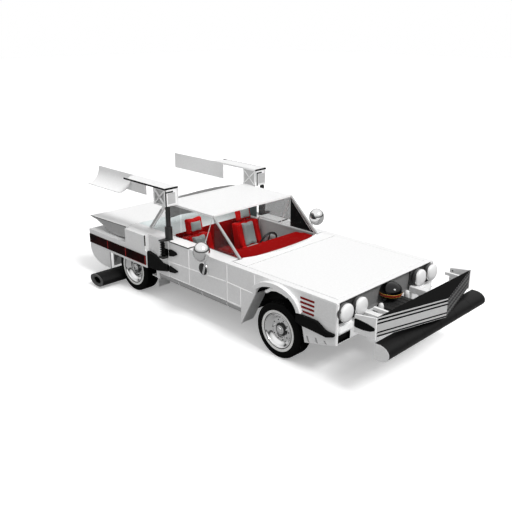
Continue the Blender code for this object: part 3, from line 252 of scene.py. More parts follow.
# %% [markdown]
# ## Cabin finishes
# The seats are red leather with woven grey centre panels. Leather has a pebbled grain about 2 mm wide,
# drawn at 6 mm here, and the weave's threads are 3 mm apart, drawn at 9 mm.

# %% Cabin finishes
red_leather = mottled("red_leather", "#B80202", ("#B20202", "#BE0303"), 0.55, 6.0, 0.5, 3.0, gloss=0.12)
red_vinyl = mottled("red_vinyl", "#920000", ("#8C0000", "#980000"), 0.75, 9.0, 0.3, 3.0, gloss=0.04)

woven_grey = checked("woven_grey_cloth", "#8E9A9A", ("#85928F", "#9AA5A5"), 0.85, 9.0, 0.4,
                     {"Sheen Weight": 0.3})
# Painted shade: a mid grey laid where shade falls on white parts, on faces of panels and on thin sheets in
# recesses and slots.
painted_shade_grey = mottled("painted_shade_enamel", "#ABABAB", ("#A7A7A7", "#AFAFAF"), 0.5, 20.0, 0.05)
# Painted shade for the recess behind the headlamps.
painted_recess_shade = mottled("painted_recess_shade_enamel", "#828282", ("#7E7E7E", "#868686"), 0.5, 20.0, 0.05)
mast_grey = mottled("mast_grey_enamel", "#222222", ("#1E1E1E", "#262626"), 0.45, 20.0, 0.05)
# Painted shade for the rocker panels under the flanks.
painted_sill_shade = mottled("painted_sill_shade_enamel", "#B2B2B2", ("#AEAEAE", "#B6B6B6"), 0.5, 20.0, 0.05)
shelf_cloth = mottled("pale_shelf_cloth", "#DEE7E7", ("#D6DFDF", "#E6EEEE"), 0.9, 7.0, 0.5, 5.0)
stitch_thread = mottled("red_thread", "#6E0404", ("#640303", "#780606"), 0.7, 2.0, 0.2, 2.0)
cabin_grey = mottled("grey_cabin_carpet", "#9DA2A2", ("#939898", "#A8ADAD"), 0.9, 7.0, 0.6, 5.0)
dark_carpet = mottled("dark_red_carpet", "#3A0505", ("#2E0303", "#480808"), 0.95, 7.0, 0.8, 5.0)
black_plastic = mottled("black_moulded_plastic", "#0E0E0E", ("#0A0A0A", "#161616"), 0.4, 5.0, 0.2, 3.0)

# %% [markdown]
# ## Modelling helpers
# Most pieces are one of three makes: a pressed block, a flat outline given depth, or a profile turned
# round an axle. Each helper works in a fresh bmesh, with bmesh operators, and adds the result to a
# growing one, so a piece can be put together from several shapes before it becomes an object.

# %% Helpers that shape
PLANES = {
    "xz": lambda across, up, depth: (across, depth, up),
    "yz": lambda across, up, depth: (depth, across, up),
    "xy": lambda across, up, depth: (across, up, depth),
}


def cut_away(bm, place, outward):
    """Cut a shape by a plane and drop the part on the side that the normal points to."""
    bmesh.ops.bisect_plane(bm, geom=bm.verts[:] + bm.edges[:] + bm.faces[:], plane_co=place,
                           plane_no=outward, clear_outer=True)


def close_holes(bm):
    """Fill every open rim with a face."""
    bmesh.ops.holes_fill(bm, edges=[edge for edge in bm.edges if edge.is_boundary])


def merge(target, fresh):
    """Add a finished small bmesh to a larger one and free it."""
    mesh = bpy.data.meshes.new("part")
    fresh.to_mesh(mesh)
    fresh.free()
    target.from_mesh(mesh)
    bpy.data.meshes.remove(mesh)


def round_edges(bm, width, segments=2, angle=28.0):
    """Bevel the sharp edges whose neighbours are long enough to leave room for the bevel."""
    sharp = []
    for edge in bm.edges:
        if len(edge.link_faces) != 2 or edge.calc_face_angle(0.0) < math.radians(angle):
            continue
        near = [other.calc_length() for vert in edge.verts for other in vert.link_edges]
        if min(near) > 2.2 * width:
            sharp.append(edge)
    bmesh.ops.bevel(bm, geom=sharp, offset=width, offset_type="OFFSET", segments=segments,
                    profile=0.5, affect="EDGES", clamp_overlap=False, material=-1)


def add_box(bm, low, high, bevel=0.0, segments=2):
    """A block between two corners."""
    fresh = bmesh.new()
    bmesh.ops.create_cube(fresh, size=1.0)
    bmesh.ops.scale(fresh, vec=[abs(b - a) for a, b in zip(low, high)], verts=fresh.verts)
    bmesh.ops.translate(fresh, vec=[(a + b) / 2 for a, b in zip(low, high)], verts=fresh.verts)
    if bevel:
        round_edges(fresh, bevel, segments)
    merge(bm, fresh)


def add_prism(bm, plane, outline, low, high, bevel=0.0, segments=2):
    """A flat outline in one plane, given depth from low to high across it."""
    fresh = bmesh.new()
    at = PLANES[plane]
    verts = [fresh.verts.new(at(across, up, low)) for across, up in outline]
    face = fresh.faces.new(verts)
    grown = bmesh.ops.extrude_face_region(fresh, geom=[face])["geom"]
    moved = [item for item in grown if isinstance(item, bmesh.types.BMVert)]
    bmesh.ops.translate(fresh, vec=Vector(at(0.0, 0.0, high - low)), verts=moved)
    bmesh.ops.recalc_face_normals(fresh, faces=fresh.faces)
    if bevel:
        round_edges(fresh, bevel, segments)
    merge(bm, fresh)


def add_bar(bm, start, end, radius, end_radius=None, segments=24, bevel=0.0):
    """A round bar or cone between two points."""
    start, end = Vector(start), Vector(end)
    way = end - start
    fresh = bmesh.new()
    bmesh.ops.create_cone(fresh, cap_ends=True, segments=segments, radius1=radius,
                          radius2=radius if end_radius is None else end_radius, depth=way.length)
    if bevel:
        round_edges(fresh, bevel, 2, 50.0)
    turn = way.to_track_quat("Z", "Y").to_matrix().to_4x4()
    bmesh.ops.transform(fresh, matrix=Matrix.Translation((start + end) / 2) @ turn, verts=fresh.verts)
    merge(bm, fresh)


def add_turned(bm, profile, centre, axis=(0.0, 0.0, 1.0), steps=64):
    """A profile of (radius, height) points, spun once round an axis through its centre."""
    fresh = bmesh.new()
    verts = [fresh.verts.new((radius, 0.0, height)) for radius, height in profile]
    edges = [fresh.edges.new(pair) for pair in zip(verts, verts[1:])]
    bmesh.ops.spin(fresh, geom=verts + edges, cent=(0, 0, 0), axis=(0, 0, 1), angle=math.tau,
                   steps=steps, use_merge=True)
    bmesh.ops.remove_doubles(fresh, verts=fresh.verts, dist=0.00005)
    bmesh.ops.recalc_face_normals(fresh, faces=fresh.faces)
    turn = Vector(axis).to_track_quat("Z", "Y").to_matrix().to_4x4()
    bmesh.ops.transform(fresh, matrix=Matrix.Translation(centre) @ turn, verts=fresh.verts)
    merge(bm, fresh)


def add_ball(bm, centre, radii, segments=48, rings=24):
    """A ball stretched to three radii."""
    fresh = bmesh.new()
    bmesh.ops.create_uvsphere(fresh, u_segments=segments, v_segments=rings, radius=1.0)
    bmesh.ops.scale(fresh, vec=radii, verts=fresh.verts)
    bmesh.ops.translate(fresh, vec=centre, verts=fresh.verts)
    merge(bm, fresh)


def add_tube(bm, points, radius, segments=16, closed=False):
    """A round wire swept along points, each ring turned to the way the wire runs."""
    fresh = bmesh.new()
    count = len(points)
    rings = []
    side = None
    for index, point in enumerate(points):
        before = Vector(points[index - 1] if index or closed else points[0])
        after = Vector(points[(index + 1) % count] if index < count - 1 or closed else points[-1])
        way = (after - before).normalized()
        if side is None:
            side = way.orthogonal().normalized()
        side = (side - way * side.dot(way)).normalized()
        basis = Matrix((side, way.cross(side), way)).transposed().to_4x4()
        ring = bmesh.ops.create_circle(fresh, segments=segments, radius=radius,
                                       matrix=Matrix.Translation(point) @ basis)["verts"]
        rings.append([edge for edge in {e for vert in ring for e in vert.link_edges}])
    pairs = list(zip(rings, rings[1:])) + ([(rings[-1], rings[0])] if closed else [])
    for first, second in pairs:
        bmesh.ops.bridge_loops(fresh, edges=first + second)
    if not closed:
        close_holes(fresh)
    bmesh.ops.recalc_face_normals(fresh, faces=fresh.faces)
    merge(bm, fresh)


def arc(centre, half, rise, start, end, count):
    """Points on an ellipse from one angle to another, in degrees."""
    turns = [math.radians(start + (end - start) * step / count) for step in range(count + 1)]
    return [(centre[0] + half * math.cos(turn), centre[1] + rise * math.sin(turn)) for turn in turns]


def polar(radius, turn):
    """The two coordinates of a point at a radius and an angle."""
    return radius * math.cos(turn), radius * math.sin(turn)


def round_turns(count, start=0.0):
    """Equal steps of one full turn."""
    return [math.tau * step / count + start for step in range(count)]


def span(side, inner, outer):
    """Low and high Y between two distances from the middle, on one side of the car."""
    return sorted((side * inner, side * outer))


def side_box(bm, side, x, across, z, bevel=0.0, segments=2):
    """A block on one side of the car, given by its ranges along X, away from the middle, and up."""
    low_y, high_y = span(side, *across)
    add_box(bm, (x[0], low_y, z[0]), (x[1], high_y, z[1]), bevel, segments)


# %% [markdown]
# ## Publishing a piece
# A finished piece keeps its place in its mesh, rides on one body, and may stand for a CAD node. Smooth
# shading with sharp edges marked by angle, and normals weighted by face area, keeps flat panels flat.

# %% Helpers that publish
def publish(bm, name, material, body="root", stands_for=(), angle=34.0, extra=()):
    """Turn a bmesh into a shaded object that rides on a body."""
    mesh = bpy.data.meshes.new(name)
    bm.to_mesh(mesh)
    bm.free()
    for each in (material, *extra):
        mesh.materials.append(each)
    mesh.polygons.foreach_set("use_smooth", [True] * len(mesh.polygons))
    mesh.set_sharp_from_angle(angle=math.radians(angle))
    piece = stand(name, mesh)
    weighted = piece.modifiers.new("weighted_normals", "WEIGHTED_NORMAL")
    weighted.keep_sharp = True
    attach(piece, body)
    if stands_for:
        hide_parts(*stands_for)
    return piece


def cad_shape(node):
    """A welded copy of a CAD node, with each flat area joined to one face."""
    bm = bmesh.new()
    bm.from_mesh(NODES[node].data)
    bmesh.ops.remove_doubles(bm, verts=bm.verts, dist=0.00003)
    bmesh.ops.dissolve_limit(bm, angle_limit=math.radians(0.6), verts=bm.verts, edges=bm.edges,
                             use_dissolve_boundaries=False)
    return bm


def both_sides(name, material, boxes=(), outlines=(), body="root", node=None, angle=34.0):
    """Publish one piece a side, made of boxes and of flat outlines with an inner and outer distance."""
    for word, side in SIDES.items():
        bm = bmesh.new()
        for outline, inner, outer, *rest in outlines:
            add_prism(bm, "xz", outline, *span(side, inner, outer), *rest)
        for box in boxes:
            side_box(bm, side, *box)
        carrier = body if body == "root" else f"{body}_{word}"
        stands_for = (f"{node}_{word}",) if node else ()
        publish(bm, f"{name}_{word}", material, carrier, stands_for, angle)


def dress(node, name, material, body="root", bevel=0.004, segments=2, extra=()):
    """Replace a CAD node by a copy with softened edges and a real finish."""
    bm = cad_shape(node)
    if bevel:
        bmesh.ops.triangulate(bm, faces=[face for face in bm.faces if len(face.verts) > 4])
        round_edges(bm, bevel, segments)
    return publish(bm, name, material, body, (node,), extra=extra)


# %% [markdown]
# ## Floor and light
# A pale studio floor and one broad soft sun from above the nose. The right side of the car faces away
# from it and stays a flat pale grey, while the hood and roof are nearly white.

# %% Floor and light
SKY_LEVEL = 0.6
SUN_LEVEL = 1.95
SUN_SPREAD = 18.0
SUN_WAY = Vector((0.62, 0.03, 0.78))
CABIN_GLOW = 5.0
BOUNCE_GREY = "#A6A6A6"
FLOOR_LIFT = 0.3

floor_bm = bmesh.new()
bmesh.ops.create_grid(floor_bm, x_segments=1, y_segments=1, size=60.0)
floor_mesh = bpy.data.meshes.new("studio_floor")
floor_bm.to_mesh(floor_mesh)
floor_bm.free()
floor = stand("studio_floor", floor_mesh)
floor_material, tree, shader = finish("pale_floor", "#FAFAFA", 0.9, sockets={"Specular IOR Level": 0.1})
floor_path = add_node(tree, "ShaderNodeLightPath")
bounce = add_node(tree, "ShaderNodeMix", {"A": linear(BOUNCE_GREY), "B": linear("#FAFAFA")},
                  {"Factor": floor_path.outputs["Is Camera Ray"]}, data_type="RGBA")
tree.links.new(bounce.outputs["Result"], shader.inputs["Base Color"])
lift = add_node(tree, "ShaderNodeMath", {1: FLOOR_LIFT}, {0: floor_path.outputs["Is Camera Ray"]},
                operation="MULTIPLY")
shader.inputs["Emission Color"].default_value = linear("#FFFFFF")
tree.links.new(lift.outputs[0], shader.inputs["Emission Strength"])
floor_mesh.materials.append(floor_material)

world = bpy.data.worlds.new("studio")
bpy.context.scene.world = world
world.use_nodes = True
tree = world.node_tree
sky = tree.nodes["Background"]
sky.inputs["Color"].default_value = linear("#FFFFFF")
path = add_node(tree, "ShaderNodeLightPath")
seen = path.outputs["Is Camera Ray"]
for ray in ("Is Glossy Ray", "Is Transmission Ray"):
    either = add_node(tree, "ShaderNodeMath", links={0: seen, 1: path.outputs[ray]}, operation="MAXIMUM")
    seen = either.outputs[0]
level = add_node(tree, "ShaderNodeMapRange", {"To Min": SKY_LEVEL, "To Max": 1.0}, {"Value": seen})
way = add_node(tree, "ShaderNodeTexCoord")
split = add_node(tree, "ShaderNodeSeparateXYZ", links={"Vector": way.outputs["Generated"]})
ramp = add_node(tree, "ShaderNodeValToRGB", links={"Fac": split.outputs["Z"]})
for place, grey in ((0.0, 0.1), (0.16, 0.05), (0.24, 0.55), (0.55, 1.0)):
    stop = ramp.color_ramp.elements.new(place)
    stop.color = (grey, grey, grey, 1.0)
mirrored = add_node(tree, "ShaderNodeMix", {"A": linear("#FFFFFF")},
                    {"Factor": path.outputs["Is Glossy Ray"], "B": ramp.outputs["Color"]}, data_type="RGBA")
tree.links.new(mirrored.outputs["Result"], sky.inputs["Color"])
tree.links.new(level.outputs["Result"], sky.inputs["Strength"])

sun_data = bpy.data.lights.new("soft_sun", "SUN")
sun_data.energy = SUN_LEVEL
sun_data.angle = math.radians(SUN_SPREAD)
sun = stand("soft_sun", sun_data)
sun.rotation_euler = SUN_WAY.to_track_quat("Z", "Y").to_euler()

glow_data = bpy.data.lights.new("cabin_glow", "AREA")
glow_data.shape = "RECTANGLE"
glow_data.size = 0.8
glow_data.size_y = 1.1
glow_data.energy = CABIN_GLOW
glow = stand("cabin_glow", glow_data)
glow.location = (-0.55, 0.0, 1.27)
glow.visible_camera = False
glow.visible_glossy = False

# %% [markdown]
# ## The painted body
# The shell keeps its CAD outlines. Pressed steel has no knife edges, so each panel's corners are rolled by
# a few millimetres, which catches a thin line of light along every shut line.

# %% Body shell
white_panels = {
    "canopy_frame": ("roof_and_pillars", "root"), "tail_deck": ("tail_deck_panel", "root"),
    "rear_deck": ("rear_shelf_panel", "root"), "hood": ("hood_panel", "hood"),
    "decklid": ("wedge_lid", "decklid"),
}
for word in SIDES:
    white_panels["front_fender_" + word] = ("fender_panel_" + word, "root")
    white_panels["sill_" + word] = ("rocker_panel_" + word, "root")
    white_panels["quarter_" + word] = ("quarter_panel_" + word, "root")
    white_panels["door_" + word] = ("door_panel_" + word, "door_" + word)
    white_panels["wing_" + word] = ("wing_arm_" + word, "root")
panels = {}
# Apart from the pale back-shelf cloth, the panels' extra finishes are greys of painted shade for their
# shaded faces.
for node, (name, body) in white_panels.items():
    panels[node] = dress(node, name, body_enamel, body,
                         extra=(painted_shade_grey, shelf_cloth, painted_deep_shade, painted_sill_shade),
                         bevel=0.003 if node == "canopy_frame" else 0.004)


def tint(piece, chosen, index=1):
    """Give the faces that pass a test another finish of the piece."""
    for face in piece.data.polygons:
        if chosen(face.center, face.normal):
            face.material_index = index


nose = dress("front_fascia", "nose_panel", body_enamel, bevel=0.003,
             extra=(painted_recess_shade, black_enamel))
# Painted shade: the back of the lamp recess in the white nose takes a grey.
tint(nose, lambda centre, normal: 1.89 < centre.x < 1.93 and 0.55 < centre.z < 0.872)
tint(nose, lambda centre, normal: centre.x < 1.9495 and 0.62 < abs(centre.y) < 0.852 and centre.z < 0.51, 2)
# Painted shade: the canopy frame's low faces ahead of the doors take the shade grey, and its rear lip the
# deeper shade grey.
tint(panels["canopy_frame"], lambda centre, normal: -0.115 < centre.x and centre.z < 1.29)
tint(panels["canopy_frame"], lambda centre, normal: centre.x < -1.045 and centre.z > 1.312, 3)
# Painted shade: every face of the white rocker panels takes a darker grey, for the shade under the flank.
for word in SIDES:
    tint(panels["sill_" + word], lambda centre, normal: True, 4)
# Painted shade: the lid's sides and underside, chosen by the way they face, take the shade grey.
tint(panels["decklid"], lambda centre, normal: abs(normal.y) > 0.9 or normal.z < -0.2)
tint(panels["rear_deck"],
     lambda centre, normal: normal.z > 0.9 and centre.x > -1.43 and abs(centre.y) < 0.68, 2)
print(len(white_panels) + 1, "painted panels")

# %% Chassis and engine
wall = dress("engine_bay", "firewall_and_aprons", chassis_paint, bevel=0.003, extra=(body_enamel,))
tint(wall, lambda centre, normal: centre.z > 0.866)
dress("floor_pan", "floor_pressing", chassis_paint, bevel=0.003)
dress("front_subframe", "front_crossmember", chassis_paint, bevel=0.003)
dress("rear_axle", "rear_axle_housing", cast_steel, bevel=0.002)
dress("engine_block", "engine_casting", cast_steel, bevel=0.012, segments=3)
pipe = dress("rear_pipe", "tail_crosspipe", chassis_paint, bevel=0.003)
PIPE_X, PIPE_Z, PIPE_SWELL = -1.97, 0.112, 1.12
for vert in pipe.data.vertices:
    if vert.co.z < 0.21:
        vert.co.x = PIPE_X + (vert.co.x - PIPE_X) * PIPE_SWELL
        vert.co.z = PIPE_Z + (vert.co.z - PIPE_Z) * PIPE_SWELL
PIPE_END, PIPE_FLATNESS = 1.26, 0.558
LIP_PROFILE = [(0.15, -0.006), (0.157, -0.002), (0.158, 0.004), (0.15, 0.009), (0.084, -0.004),
               (0.08, -0.012), (0.084, -0.022), (0.15, -0.02)]
lips = bmesh.new()
for side in SIDES.values():
    ring = bmesh.new()
    add_turned(ring, LIP_PROFILE, (PIPE_X, side * PIPE_END, PIPE_Z), (0.0, side, 0.0), 56)
    centre = Matrix.Translation((-PIPE_X, -side * PIPE_END, -PIPE_Z))
    bmesh.ops.scale(ring, vec=(1.0, 1.0, PIPE_FLATNESS), space=centre, verts=ring.verts)
    merge(lips, ring)
publish(lips, "pipe_end_lips", charcoal_enamel, angle=50.0)
dress("dashboard", "dash_pad", red_vinyl, bevel=0.012, segments=3)
for word in SIDES:
    dress("knuckle_" + word, "steering_knuckle_" + word, cast_steel, "steer_" + word, bevel=0.002)
    dress("tail_lamps_" + word, "lamp_strip_" + word, strip_lens, bevel=0.002)
    pane = {"right": canopy_glass, "left": far_glass}[word]
    dress("door_glass_" + word, "door_pane_" + word, pane, "door_" + word, bevel=0.0)
    pane = {"right": canopy_glass, "left": dusk_glass}[word]
    dress("quarter_glass_" + word, "quarter_pane_" + word, pane, bevel=0.0)
dress("windscreen", "bowed_screen", screen_glass, bevel=0.0)
dress("rear_window", "rear_screen", canopy_glass, bevel=0.0)

# %% [markdown]
# ## Tyres
# A tyre is a turned shape: one profile from bead to bead, spun round the axle. Its white side band stands
# a little proud. Every third face of the shoulder is pushed in as a cross groove, which leaves blocks.

# %% Tyres
TYRE_STEPS = 96
BAND_RADII = (0.2075, 0.2385)
SIDE_PROFILE = [(0.2006, 0.086), (0.2035, 0.0945), (0.206, 0.0985), (0.208, 0.1002), (0.212, 0.1014),
                (0.236, 0.1038), (0.2385, 0.103), (0.2405, 0.102), (0.255, 0.1043), (0.268, 0.1049),
                (0.285, 0.103), (0.3, 0.0988), (0.306, 0.0962), (0.3075, 0.0942), (0.314, 0.0922),
                (0.3178, 0.0885), (0.3195, 0.083)]
TREAD_PROFILE = [(0.32, 0.078), (0.32, 0.056), (0.313, 0.0545), (0.313, 0.0485), (0.32, 0.047),
                 (0.32, 0.02), (0.313, 0.0185), (0.313, 0.0125), (0.32, 0.011)]
CROSS_GROOVE = 0.006
GROOVE_EVERY = 3
SHOULDER_RADIUS = 0.3175
SHOULDER_SPAN = (0.056, 0.0785)
BAND_FACE = 0.098


def wheel_place(node):
    """Centre of a wheel's node."""
    low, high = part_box(node)
    return (low + high) / 2


def build_tyre(word, side, place):
    """Spin one tyre, colour its side band and press in the shoulder grooves."""
    node = f"tyre_{place}_{word}"
    centre = wheel_place(node)
    half = SIDE_PROFILE + TREAD_PROFILE
    profile = half + [(radius, -height) for radius, height in reversed(half)]
    bm = bmesh.new()
    add_turned(bm, profile + [profile[0]], centre, (0.0, side, 0.0), TYRE_STEPS)
    shoulder = []
    for face in bm.faces:
        offset = face.calc_center_median() - centre
        radius, height = math.hypot(offset.x, offset.z), side * offset.y
        if BAND_RADII[0] < radius < BAND_RADII[1] and height > BAND_FACE:
            face.material_index = 1
        step = int((math.atan2(offset.z, offset.x) % math.tau) / math.tau * TYRE_STEPS)
        on_shoulder = radius > SHOULDER_RADIUS and SHOULDER_SPAN[0] < abs(height) < SHOULDER_SPAN[1]
        if on_shoulder and step % GROOVE_EVERY == 0:
            shoulder.append(face)
    pushed = bmesh.ops.extrude_discrete_faces(bm, faces=shoulder)["faces"]
    for face in pushed:
        way = face.calc_center_median() - centre
        inward = Vector((way.x, 0.0, way.z)).normalized() * -CROSS_GROOVE
        bmesh.ops.translate(bm, vec=inward, verts=face.verts)
    publish(bm, f"tyre_casing_{place}_{word}", tyre_rubber, f"wheel_{place}_{word}", (node,),
            40.0, (band_rubber,))


for wheel in WHEELS:
    build_tyre(*wheel)
print("four tyres")

# %% [markdown]
# ## Chrome dish rims
# The rims are deep dishes pressed from steel and plated: a rolled lip, a smooth bowl, a raised centre with
# a cone-shaped cap, five nuts and a ring of small vents. One spin makes the dish; nuts and vents are
# small turned pieces set round it.

# %% Rims
RIM_PROFILE = [(0.0, 0.083), (0.012, 0.0828), (0.024, 0.0808), (0.032, 0.0765), (0.036, 0.07),
               (0.0375, 0.064), (0.052, 0.0622), (0.062, 0.06), (0.066, 0.056), (0.0675, 0.047),
               (0.0705, 0.0425), (0.078, 0.0415), (0.086, 0.044), (0.1, 0.0505), (0.112, 0.052),
               (0.124, 0.05), (0.133, 0.047), (0.139, 0.0475), (0.151, 0.058), (0.163, 0.069),
               (0.175, 0.078), (0.186, 0.0845), (0.19, 0.089), (0.192, 0.096), (0.1945, 0.1),
               (0.198, 0.1008), (0.2, 0.099), (0.2, 0.09), (0.1975, 0.06), (0.186, 0.05),
               (0.186, -0.05), (0.1975, -0.06), (0.2, -0.0985), (0.197, -0.1008), (0.19, -0.098),
               (0.187, -0.062), (0.18, -0.045), (0.18, 0.03), (0.15, 0.0365), (0.136, 0.0355),
               (0.056, 0.0355), (0.056, 0.028), (0.0225, 0.028), (0.0225, 0.059), (0.0, 0.059)]
NUT_CIRCLE, NUT_COUNT, NUT_START = 0.0905, 5, 0.3
VENT_CIRCLE, VENT_COUNT = 0.1165, 10
VALVE_CIRCLE, VALVE_TURN = 0.165, 2.0
VENT_RING = [(0.052, 0.061), (0.052, 0.0628), (0.06, 0.0612), (0.066, 0.0575), (0.069, 0.047),
             (0.078, 0.043), (0.078, 0.0405)]


def on_rim(centre, radius, turn):
    """A point on the wheel's middle plane at a radius and an angle."""
    across, up = polar(radius, turn)
    return centre + Vector((across, 0.0, up))


def build_rim(word, side, place):
    """Spin one rim and set its nuts, valve and vents."""
    node = f"rim_{place}_{word}"
    body = f"wheel_{place}_{word}"
    centre = wheel_place(node)
    out = Vector((0.0, side, 0.0))
    bm = bmesh.new()
    add_turned(bm, RIM_PROFILE, centre, out, 72)
    for turn in round_turns(NUT_COUNT, NUT_START):
        foot = on_rim(centre, NUT_CIRCLE, turn)
        add_bar(bm, foot + out * 0.044, foot + out * 0.06, 0.0085, 0.0075, 6, 0.001)
        add_ball(bm, foot + out * 0.06, (0.006, 0.004, 0.006), 12, 6)
    valve = on_rim(centre, VALVE_CIRCLE, VALVE_TURN)
    add_bar(bm, valve + out * 0.066, valve + out * 0.092, 0.0035, None, 10)
    publish(bm, f"dish_rim_{place}_{word}", chrome_plate, body, (node,), 38.0)
    vents = bmesh.new()
    for turn in round_turns(VENT_COUNT):
        foot = on_rim(centre, VENT_CIRCLE, turn)
        add_bar(vents, foot + out * 0.046, foot + out * 0.0522, 0.0085, None, 16, 0.0005)
    add_turned(vents, VENT_RING, centre, out, 48)
    publish(vents, f"rim_vents_{place}_{word}", black_plastic, body)


for wheel in WHEELS:
    build_rim(*wheel)
print("four rims")

# %% [markdown]
# ## Round lamps
# Each pair sits on one black bezel plate in the recess. A lamp is a short drum with a bright ring and a
# domed frosted lens. The bezel's small round-headed screws run down its edges.

# %% Headlamps
LAMP_OUTER_Y = 0.797
LAMP_INNER_Y = 0.557
LAMP_Z = 0.762
LAMP_FACE_X = 2.01
NOSE_X = 1.95
RECESS_X = NOSE_X - 0.045
LENS_BULGE = 0.034
NOSEWARD = (1.0, 0.0, 0.0)

for word, side in SIDES.items():
    plate_y = span(side, LAMP_INNER_Y - 0.088, LAMP_OUTER_Y + 0.038)
    housing = bmesh.new()
    lens = bmesh.new()
    ring = bmesh.new()
    add_box(housing, (RECESS_X + 0.0005, plate_y[0], LAMP_Z - 0.087),
            (RECESS_X + 0.02, plate_y[1], LAMP_Z + 0.087), 0.004)
    for lamp_y in (LAMP_INNER_Y, LAMP_OUTER_Y):
        centre = (0.0, side * lamp_y, LAMP_Z)
        drum = [(0.0, NOSE_X + 0.003), (0.09, NOSE_X + 0.003), (0.0965, NOSE_X + 0.01),
                (0.0985, LAMP_FACE_X - 0.02), (0.0985, LAMP_FACE_X - 0.004), (0.0, LAMP_FACE_X - 0.004)]
        add_turned(housing, drum, centre, NOSEWARD, 64)
        add_bar(housing, (RECESS_X + 0.01, side * lamp_y, LAMP_Z), (NOSE_X + 0.006, side * lamp_y, LAMP_Z),
                0.04, None, 32)
        dome = [(0.0, LAMP_FACE_X + LENS_BULGE)]
        dome += [(0.099 * math.sin(turn), LAMP_FACE_X + LENS_BULGE * math.cos(turn))
                 for turn in (0.2, 0.4, 0.6, 0.8, 1.0, 1.2, 1.4, 1.52)]
        dome += [(0.0992, LAMP_FACE_X), (0.0992, LAMP_FACE_X - 0.003), (0.0, LAMP_FACE_X - 0.003)]
        add_turned(lens, dome, centre, NOSEWARD, 64)
        bead = [(0.097, LAMP_FACE_X - 0.016), (0.0995, LAMP_FACE_X - 0.016), (0.1004, LAMP_FACE_X - 0.012),
                (0.1004, LAMP_FACE_X - 0.008), (0.0995, LAMP_FACE_X - 0.004), (0.097, LAMP_FACE_X - 0.004)]
        add_turned(ring, bead + [bead[0]], centre, NOSEWARD, 64)
    for edge_y in (plate_y[0] + 0.01, plate_y[1] - 0.01):
        for rise in (-0.072, -0.036, 0.0, 0.036, 0.072):
            add_ball(ring, (RECESS_X + 0.02, edge_y, LAMP_Z + rise), (0.003, 0.0045, 0.0045), 12, 6)
    publish(housing, "lamp_housing_" + word, charcoal_enamel, "root", ("headlamps_" + word,))
    publish(lens, "lamp_lens_" + word, lamp_glass)
    publish(ring, "lamp_ring_" + word, chrome_plate)

# %% [markdown]
# ## Nose bubble, duct and horns
# The black bubble is a lacquered dome. Plain bands run round its lower half, cut from a ball by two level
# planes so that they follow its curve. Below it a slate-coloured duct carries two bullet-shaped horns.

# %% Nose bubble
BUBBLE_RADIUS = 0.128
BUBBLE_CENTRE = Vector((RECESS_X + 0.0004 + BUBBLE_RADIUS * 0.6, 0.0, 0.76))
BUBBLE_RADII = Vector((BUBBLE_RADIUS, BUBBLE_RADIUS, BUBBLE_RADIUS * 0.78))

band_gold = mottled("ochre_lacquer", "#D9A441", ("#D29B36", "#E0AC4C"), 0.3, 10.0, 0.05)
band_red = mottled("signal_red_lacquer", "#C0141C", ("#B81018", "#C81A20"), 0.3, 10.0, 0.05)
bubble_lacquer = mottled("black_bubble_lacquer", "#030304", ("#040405", "#09090B"),
                         0.1, 20.0, 0.05, gloss=0.35)


def ball_slice(low_z, high_z, swell):
    """The skin of the bubble between two heights, in front of the recess."""
    bm = bmesh.new()
    add_ball(bm, BUBBLE_CENTRE, BUBBLE_RADII * swell, 72, 36)
    planes = [((0, 0, low_z), (0, 0, -1)), ((0, 0, high_z), (0, 0, 1)),
              ((RECESS_X + 0.001, 0, 0), (-1, 0, 0))]
    for place, outward in planes:
        cut_away(bm, place, outward)
    return bm


dome = bmesh.new()
add_ball(dome, BUBBLE_CENTRE, BUBBLE_RADII * 0.996, 72, 36)
cut_away(dome, (RECESS_X + 0.0006, 0, 0), (-1, 0, 0))
close_holes(dome)
publish(dome, "bubble_dome", bubble_lacquer, "root", ("nose_dome",), 60.0)
for name, low_z, high_z, paint in (("upper", 0.752, 0.759, band_gold), ("middle", 0.734, 0.745, band_red),
                                   ("lower", 0.719, 0.727, band_gold)):
    strip = ball_slice(low_z, high_z, 1.0)
    band = publish(strip, "bubble_band_" + name, paint)
    skin = band.modifiers.new("thickness", "SOLIDIFY")
    skin.thickness = 0.0008
    skin.offset = 0.0

# %% Duct and horns
duct = bmesh.new()
low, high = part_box("nose_duct")
DUCT_HALF = 0.2
DUCT_TOP = 0.652
add_box(duct, (low.x, -DUCT_HALF, 0.58), (high.x, DUCT_HALF, DUCT_TOP), 0.008, 3)
for rib_y in (-0.12, -0.04, 0.04, 0.12):
    add_box(duct, (low.x + 0.05, rib_y - 0.008, DUCT_TOP - 0.004),
            (high.x - 0.03, rib_y + 0.008, DUCT_TOP + 0.006), 0.003)
for side in SIDES.values():
    side_box(duct, side, (low.x, low.x + 0.11), (0.18, 0.262), (0.59, 0.62), 0.004)
publish(duct, "air_duct", duct_grey, "root", ("nose_duct",))
horns = bmesh.new()
HORN_X = NOSE_X + 0.085
HORN_RADIUS = 0.0315
HORN_SHAPE = ((0.0, 0.0), (0.8, 0.0), (1.0, 0.006), (1.0, 0.078), (0.95, 0.092), (0.78, 0.107), (0.5, 0.119),
              (0.0, 0.126))
for side in SIDES.values():
    foot = Vector((HORN_X, side * 0.245, 0.586))
    add_turned(horns, [(HORN_RADIUS * share, height) for share, height in HORN_SHAPE], foot, (0, 0, 1), 40)
publish(horns, "nose_horns", pale_panel)

# %% [markdown]
# ## Plough and bar
# The plough is a hollow-looking wedge: a black core with five aluminium ribs let into both front faces.
# The ribs are full wedges, the core is the same wedge set 12 mm back, so the grooves meet at the tip.

# %% Plough
PLOUGH_BACK, PLOUGH_TIP, PLOUGH_HALF = 2.42, 2.66, 0.908
GROOVE_DEPTH = 0.012
RIB_HEIGHTS = ((0.8625, 0.88), (0.823, 0.843), (0.727, 0.806), (0.69, 0.712), (0.67, 0.6745))


